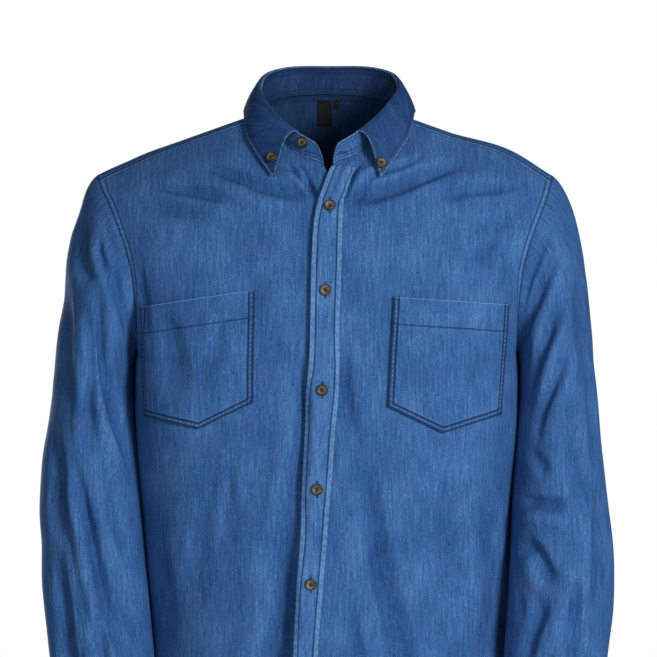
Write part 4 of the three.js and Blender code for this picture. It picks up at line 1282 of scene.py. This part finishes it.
def thread_bar(start, end, wide):
    """A flat bar of thread from start to end, arched a little."""
    run = np.linspace(0, 1, THREAD_RINGS)[:, None]
    line = start + (end - start) * run + np.array([0, 0, THREAD_ARCH]) * np.sin(np.pi * run)
    angle = np.linspace(0, 2 * np.pi, THREAD_SIDES, endpoint=False)
    way = unit(end - start)
    across = np.cross((0, 0, 1), way)
    ring_points = across * np.cos(angle)[:, None] + np.array([0, 0, 1]) * np.sin(angle)[:, None]
    points = (line[:, None] + ring_points[None] * wide).reshape(-1, 3)
    faces = shell_faces(THREAD_RINGS, THREAD_SIDES, True, 1)[:(THREAD_RINGS - 1) * THREAD_SIDES]
    return points, faces


def weld_mesh(mesh):
    """Joins the points that two parts of a button share."""
    solid = bmesh.new()
    solid.from_mesh(mesh)
    bmesh.ops.remove_doubles(solid, verts=solid.verts, dist=WELD)
    solid.to_mesh(mesh)
    solid.free()


def make_button(name, place, out, spin, lift=SEAM):
    axes = facing(out, spin)
    points, faces, kinds = [], [], []

    def add(part, kind):
        start = sum(len(p) for p in points)
        points.append(part[0])
        faces.extend((np.asarray(part[1]) + start).tolist())
        kinds.extend([kind] * len(part[1]))

    add(turned(BUTTON_PROFILE[:RIM_ENDS], BUTTON_SIDES), 0)
    add(turned(BUTTON_PROFILE[RIM_ENDS - 1:], BUTTON_SIDES), 3)
    turns = np.radians(HOLE_TURNS)
    holes = [np.array([math.cos(a), math.sin(a), 0]) * HOLE_FAR * DIAGONAL for a in turns]
    for hole in holes:
        disc, disc_faces = turned(HOLE_PROFILE, HOLE_SIDES)
        add((disc + hole, disc_faces), 1)
    raised = np.array([0, 0, THREAD_HIGH])
    for first, second in ((0, 2), (1, 3)):
        add(thread_bar(holes[first] + raised, holes[second] + raised, THREAD_WIDE), 2)
    local = np.concatenate(points)
    world = (place + unit(out) * lift + local @ axes) * MM
    mesh = bpy.data.meshes.new(name)
    mesh.from_pydata(world.tolist(), [], faces)
    weld_mesh(mesh)
    for material in (horn_rim, hole_painted_shade, cross_thread, horn_middle):
        mesh.materials.append(material)
    mesh.polygons.foreach_set("material_index", kinds)
    add_piece(name, mesh, BUTTON_TURN)


# %% The twelve buttons
CUFF_BUTTON_SHARE = 24 / 26
band_ground = Ground(band)
button_places = {}
for k, z in enumerate(FRONT_BUTTONS):
    near, far = band_sides(np.array([z]))
    place, out, _ = band_ground.find([[(near[0] + far[0]) / 2, z]])
    button_places[f"button_front_{k + 1}"] = (place[0], out[0], SEAM)


def part_of(sheet, columns):
    part = Sheet(sheet.rows[:, columns], sheet.side)
    part.out = sheet.out[:, columns]
    return part


quarter = COLLAR_COLUMNS // 4
for name, sheet, columns, spot in (
    ("button_stand", stand, slice(-quarter, None), (-25, -31)),
    ("button_leaf_right", leaf, slice(-quarter, None), (-58, -48)),
    ("button_leaf_left", leaf, slice(0, quarter), (56.5, -54)),
):
    place, out, _ = Ground(part_of(sheet, columns)).find([spot])
    button_places[name] = (place[0], out[0], CURVED_LIFT)
for side, word in ((-1, "right"), (1, "left")):
    cuff = cuffs[side]
    row, column = CUFF_STEPS[1] // 2, round(CUFF_STEPS[0] * CUFF_BUTTON_SHARE)
    button_places[f"button_cuff_{word}"] = (cuff.rows[row, column], cuff.out[row, column], CURVED_LIFT)
spins = np.random.default_rng(8).uniform(-0.5, 0.5, len(button_places))
for (name, (place, out, lift)), spin in zip(button_places.items(), spins):
    make_button(name + "_turned", place, out, spin, lift)
print("buttons:", len(button_places))

# %% [markdown]
# ## Stitches
# Sewing is hundreds of equal stitches along a line, which is what Geometry Nodes are good at. Each seam
# gives one line at a set distance from the cloth's edge. The tree below cuts the lines into even steps,
# puts one small thread grain on each step along the line, and makes the grains real.

# %% The stitch tree
STITCH_STEP, STITCH_LONG, STITCH_THICK = 3.0, 2.4, 0.7


def socket_of(tree, name):
    return next(item.identifier for item in tree.interface.items_tree if item.name == name)


def make_stitch_tree():
    tree = bpy.data.node_groups.new("stitch_rows", "GeometryNodeTree")
    face = tree.interface
    face.new_socket("Geometry", in_out="INPUT", socket_type="NodeSocketGeometry")
    for name in ("Step", "Long", "Thick"):
        face.new_socket(name, in_out="INPUT", socket_type="NodeSocketFloat")
    face.new_socket("Thread", in_out="INPUT", socket_type="NodeSocketMaterial")
    face.new_socket("Geometry", in_out="OUTPUT", socket_type="NodeSocketGeometry")
    nodes, links = tree.nodes, tree.links
    entry, leave = nodes.new("NodeGroupInput"), nodes.new("NodeGroupOutput")
    curve = nodes.new("GeometryNodeMeshToCurve")
    even = nodes.new("GeometryNodeResampleCurve")
    even.mode = "LENGTH"
    grain = nodes.new("GeometryNodeMeshUVSphere")
    grain.inputs["Segments"].default_value = 5
    grain.inputs["Rings"].default_value = 3
    grain.inputs["Radius"].default_value = 0.5
    size = nodes.new("ShaderNodeCombineXYZ")
    tangent = nodes.new("GeometryNodeInputTangent")
    align = nodes.new("FunctionNodeAlignRotationToVector")
    align.axis = "Z"
    place = nodes.new("GeometryNodeInstanceOnPoints")
    real = nodes.new("GeometryNodeRealizeInstances")
    finish = nodes.new("GeometryNodeSetMaterial")
    links.new(entry.outputs["Geometry"], curve.inputs[0])
    links.new(curve.outputs[0], even.inputs["Curve"])
    links.new(entry.outputs["Step"], even.inputs["Length"])
    links.new(even.outputs[0], place.inputs["Points"])
    links.new(grain.outputs["Mesh"], place.inputs["Instance"])
    links.new(tangent.outputs[0], align.inputs["Vector"])
    links.new(align.outputs[0], place.inputs["Rotation"])
    for axis in ("X", "Y"):
        links.new(entry.outputs["Thick"], size.inputs[axis])
    links.new(entry.outputs["Long"], size.inputs["Z"])
    links.new(size.outputs[0], place.inputs["Scale"])
    links.new(place.outputs[0], real.inputs[0])
    links.new(real.outputs[0], finish.inputs["Geometry"])
    links.new(entry.outputs["Thread"], finish.inputs["Material"])
    links.new(finish.outputs[0], leave.inputs[0])
    return tree


stitch_tree = make_stitch_tree()


# %% Lines for the stitches
def line_along(sheet, edge, far, sink=0.12, trim=0.0):
    """A line on the outer face, at a set distance from one edge of the sheet."""
    rows, out = sheet.rows, sheet.out
    if edge in ("first", "last"):
        rows, out = rows.transpose(1, 0, 2), out.transpose(1, 0, 2)
    if edge in ("high", "last"):
        rows, out = rows[::-1], out[::-1]
    run = np.zeros(rows.shape[:2])
    run[1:] = np.cumsum(np.linalg.norm(np.diff(rows, axis=0), axis=2), 0)
    lower = np.clip((run <= far).sum(0) - 1, 0, len(rows) - 2)
    j = np.arange(rows.shape[1])
    t = ((far - run[lower, j]) / (run[lower + 1, j] - run[lower, j]))[:, None]
    line = rows[lower, j] * (1 - t) + rows[lower + 1, j] * t
    line = line + unit(out[lower, j] * (1 - t) + out[lower + 1, j] * t) * sink
    if sheet.closed and edge in ("low", "high"):
        return np.concatenate([line, line[:1]])
    keep = shares_of(line)
    return line[(keep >= trim) & (keep <= 1 - trim)]


def make_stitches(name, lines, step=STITCH_STEP, long=STITCH_LONG, thick=STITCH_THICK, thread=None):
    points = np.concatenate(lines) * MM
    starts = np.cumsum([0] + [len(line) for line in lines])
    edges = [(i, i + 1) for a, b in zip(starts, starts[1:]) for i in range(a, b - 1)]
    mesh = bpy.data.meshes.new(name + "_lines")
    mesh.from_pydata(points.tolist(), edges, [])
    piece = bpy.data.objects.new(name, mesh)
    bpy.context.scene.collection.objects.link(piece)
    modifier = piece.modifiers.new("stitches", "NODES")
    modifier.node_group = stitch_tree
    for socket, value in (("Step", step * MM), ("Long", long * MM), ("Thick", thick * MM)):
        modifier[socket_of(stitch_tree, socket)] = value
    modifier[socket_of(stitch_tree, "Thread")] = thread or navy
    bpy.context.view_layer.update()
    shown = piece.evaluated_get(bpy.context.evaluated_depsgraph_get())
    sewn = bpy.data.meshes.new_from_object(shown)
    sewn.name = name
    piece.modifiers.clear()
    piece.data = sewn
    sewn.shade_smooth()
    pieces[name] = piece
    print(name, len(sewn.polygons), "faces")
    return piece


# %% All rows of stitches
# Distances from the edge, in millimetres
DOUBLE_ROW = (1.0, 6.3)
BAND_ROW, CUFF_ROW, LEAF_ROW, HEM_ROW = 5.8, 5.0, 5.5, 7.0
STAND_ROWS = (("low", 2.0), ("low", 6.5), ("high", 2.5))
HEM_SPREAD = 0.5
POCKET_THREAD = {"step": 2.7, "long": 3.0, "thick": 1.0}


def rows_along(sheets, edges, distances=DOUBLE_ROW):
    return [line_along(sheet, edge, far) for sheet in sheets for edge in edges for far in distances]


make_stitches("stitches_armhole_right", rows_along([front_right], ["last"]))
make_stitches("stitches_armhole_left", rows_along([front_left], ["last"]))
make_stitches("stitches_back", rows_along([back], ("first", "last", "high")))
make_stitches("stitches_yoke", rows_along([yoke], ("high", "low")))
make_stitches("stitches_front_yoke", rows_along([front_right, front_left], ["high"]))
make_stitches("stitches_band", rows_along([band], ALONG_SIDES, [BAND_ROW]))
for side, word in ((-1, "right"), (1, "left")):
    pocket = pockets[side]
    rows_of_pocket = rows_along([pocket], POCKET_SEWN)
    for extra in (-HEM_SPREAD, HEM_SPREAD):
        rows_of_pocket.append(line_along(pocket, "high", POCKET_HEM + extra, sink=-0.1))
    make_stitches(f"stitches_pocket_{word}", rows_of_pocket, **POCKET_THREAD)
    make_stitches(f"stitches_cuff_{word}", rows_along([cuffs[side]], ALL_ROUND, [CUFF_ROW]))
make_stitches("stitches_leaf", rows_along([leaf], ("high", "first", "last"), [LEAF_ROW]))
make_stitches("stitches_stand", [line_along(stand, edge, far) for edge, far in STAND_ROWS])
make_stitches("stitches_hem", rows_along([front_right, front_left, back], ["low"], [HEM_ROW]))

# %% [markdown]
# Buttonholes are two tight rows of thread beside a slit. They stand upright on the band, lie flat on the
# stand, and show only where they stick out from under a button. The top edge of each pocket is a worn
# fold, drawn here as a pale rolled edge.

# %% Buttonholes and the pockets' worn top edges
HOLE_LONG, HOLE_GAP = 17.5, 1.5
STAND_HOLE = {"from_x": 13, "to_x": 21, "z": -42}
HOLE_POINTS, HOLE_LIFT = 12, 0.25
HOLE_THREAD = {"step": 0.8, "long": 1.1, "thick": 0.9}
PUCKER_THREAD = {"step": 4.7, "long": 2.0, "thick": 2.1}
TOP_EDGE_THREAD = {"step": 1.6, "long": 2.6, "thick": 0.7}
PUCKER_ROW, PUCKER_SINK, PUCKER_TRIM = 3.7, -0.7, 0.04
TOP_EDGE_ROW, TOP_EDGE_TRIM = 0.5, 0.01


def row_between(ground, start, end):
    place, out, _ = ground.find(np.linspace(start, end, HOLE_POINTS))
    return place + out * HOLE_LIFT


hole_rows = []
for z in FRONT_BUTTONS:
    near, far = band_sides(np.array([z]))
    x = (near[0] + far[0]) / 2
    for offset in (-HOLE_GAP / 2, HOLE_GAP / 2):
        low_end, high_end = (x + offset, z - HOLE_LONG / 2), (x + offset, z + HOLE_LONG / 2)
        hole_rows.append(row_between(band_ground, low_end, high_end))
stand_ground = Ground(part_of(stand, slice(0, quarter)))
for offset in (-HOLE_GAP / 2, HOLE_GAP / 2):
    z = STAND_HOLE["z"] + offset
    hole_rows.append(row_between(stand_ground, (STAND_HOLE["from_x"], z), (STAND_HOLE["to_x"], z)))
make_stitches("buttonholes", hole_rows, **HOLE_THREAD)
worn = make_plain("worn_edge", WORN, 0.9, 700, 0.7)
between = [line_along(pockets[side], edge, PUCKER_ROW, PUCKER_SINK, PUCKER_TRIM)
           for side in (-1, 1) for edge in POCKET_SEWN]
make_stitches("pocket_puckers", between, thread=worn, **PUCKER_THREAD)
top_edges = [line_along(pockets[side], "high", TOP_EDGE_ROW, 0, TOP_EDGE_TRIM) for side in (-1, 1)]
make_stitches("pocket_top_edges", top_edges, thread=worn, **TOP_EDGE_THREAD)

# %% [markdown]
# ## Neck label
# A bare dark tape and a smaller tab are sewn inside the yoke at the back of the neck. They lie on the
# inner face, so they are lifted the other way.

# %% Label and tab: x from and to, z from and to
LABELS = {"label_tape": (-11, 5.5, -3, 26), "size_tape": (7, 14.5, 16, 26)}
LABEL_WALL = 0.6
neck_ground = Ground(part_of(yoke, slice(wing, -wing)))
for name, (x0, x1, z0, z1) in LABELS.items():
    x, z = np.meshgrid(np.linspace(x0, x1, 9), np.linspace(z0, z1, 15))
    place, out, _ = neck_ground.find(np.stack([x, z], -1))
    tape_sheet = Sheet((place - out * LAYER)[:, ::-1], 1)
    tape_sheet.out = out[:, ::-1]
    tape_sheet.own = tape_sheet.normals()
    make_cloth(name, tape_sheet, (), tape, inner=tape, thick=LABEL_WALL)
print("labels:", list(LABELS))

# %% [markdown]
# ## Floor
# A pale disc below the shirt catches soft shadows. It isn't part of the shirt.

# %% The floor
FLOOR_WIDE, FLOOR_Z = 1.5, -0.95
bpy.ops.mesh.primitive_circle_add(
    vertices=96, radius=FLOOR_WIDE, fill_type="NGON", location=(0, 0, FLOOR_Z))
floor = bpy.context.object
floor.name = "studio_floor"
floor.data.materials.append(pale)

# %% [markdown]
# ## Which solid each piece stands for
# Every piece rides with the shirt and stands for the plain solid of the same part, whose own mesh is hidden.

# %% What each piece stands for
CLOTH_NODES = {
    "front_right_cloth": "front_right", "front_left_cloth": "front_left", "back_cloth": "back",
    "yoke_cloth": "yoke", "sleeve_right_cloth": "sleeve_right", "sleeve_left_cloth": "sleeve_left",
    "stand_cloth": "collar_stand", "leaf_cloth": "collar_leaf", "pocket_right_cloth": "pocket_right",
    "pocket_left_cloth": "pocket_left", "band_cloth": "front_placket", "cuff_right_cloth": "cuff_right",
    "cuff_left_cloth": "cuff_left", "slit_right_cloth": "sleeve_placket_right",
    "slit_left_cloth": "sleeve_placket_left", "label_tape": "neck_label", "size_tape": "size_tab",
}
for name, piece in pieces.items():
    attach(piece, BODY)
    if name in CLOTH_NODES:
        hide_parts(CLOTH_NODES[name])
    elif name.endswith("_turned"):
        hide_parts(name.removesuffix("_turned"))
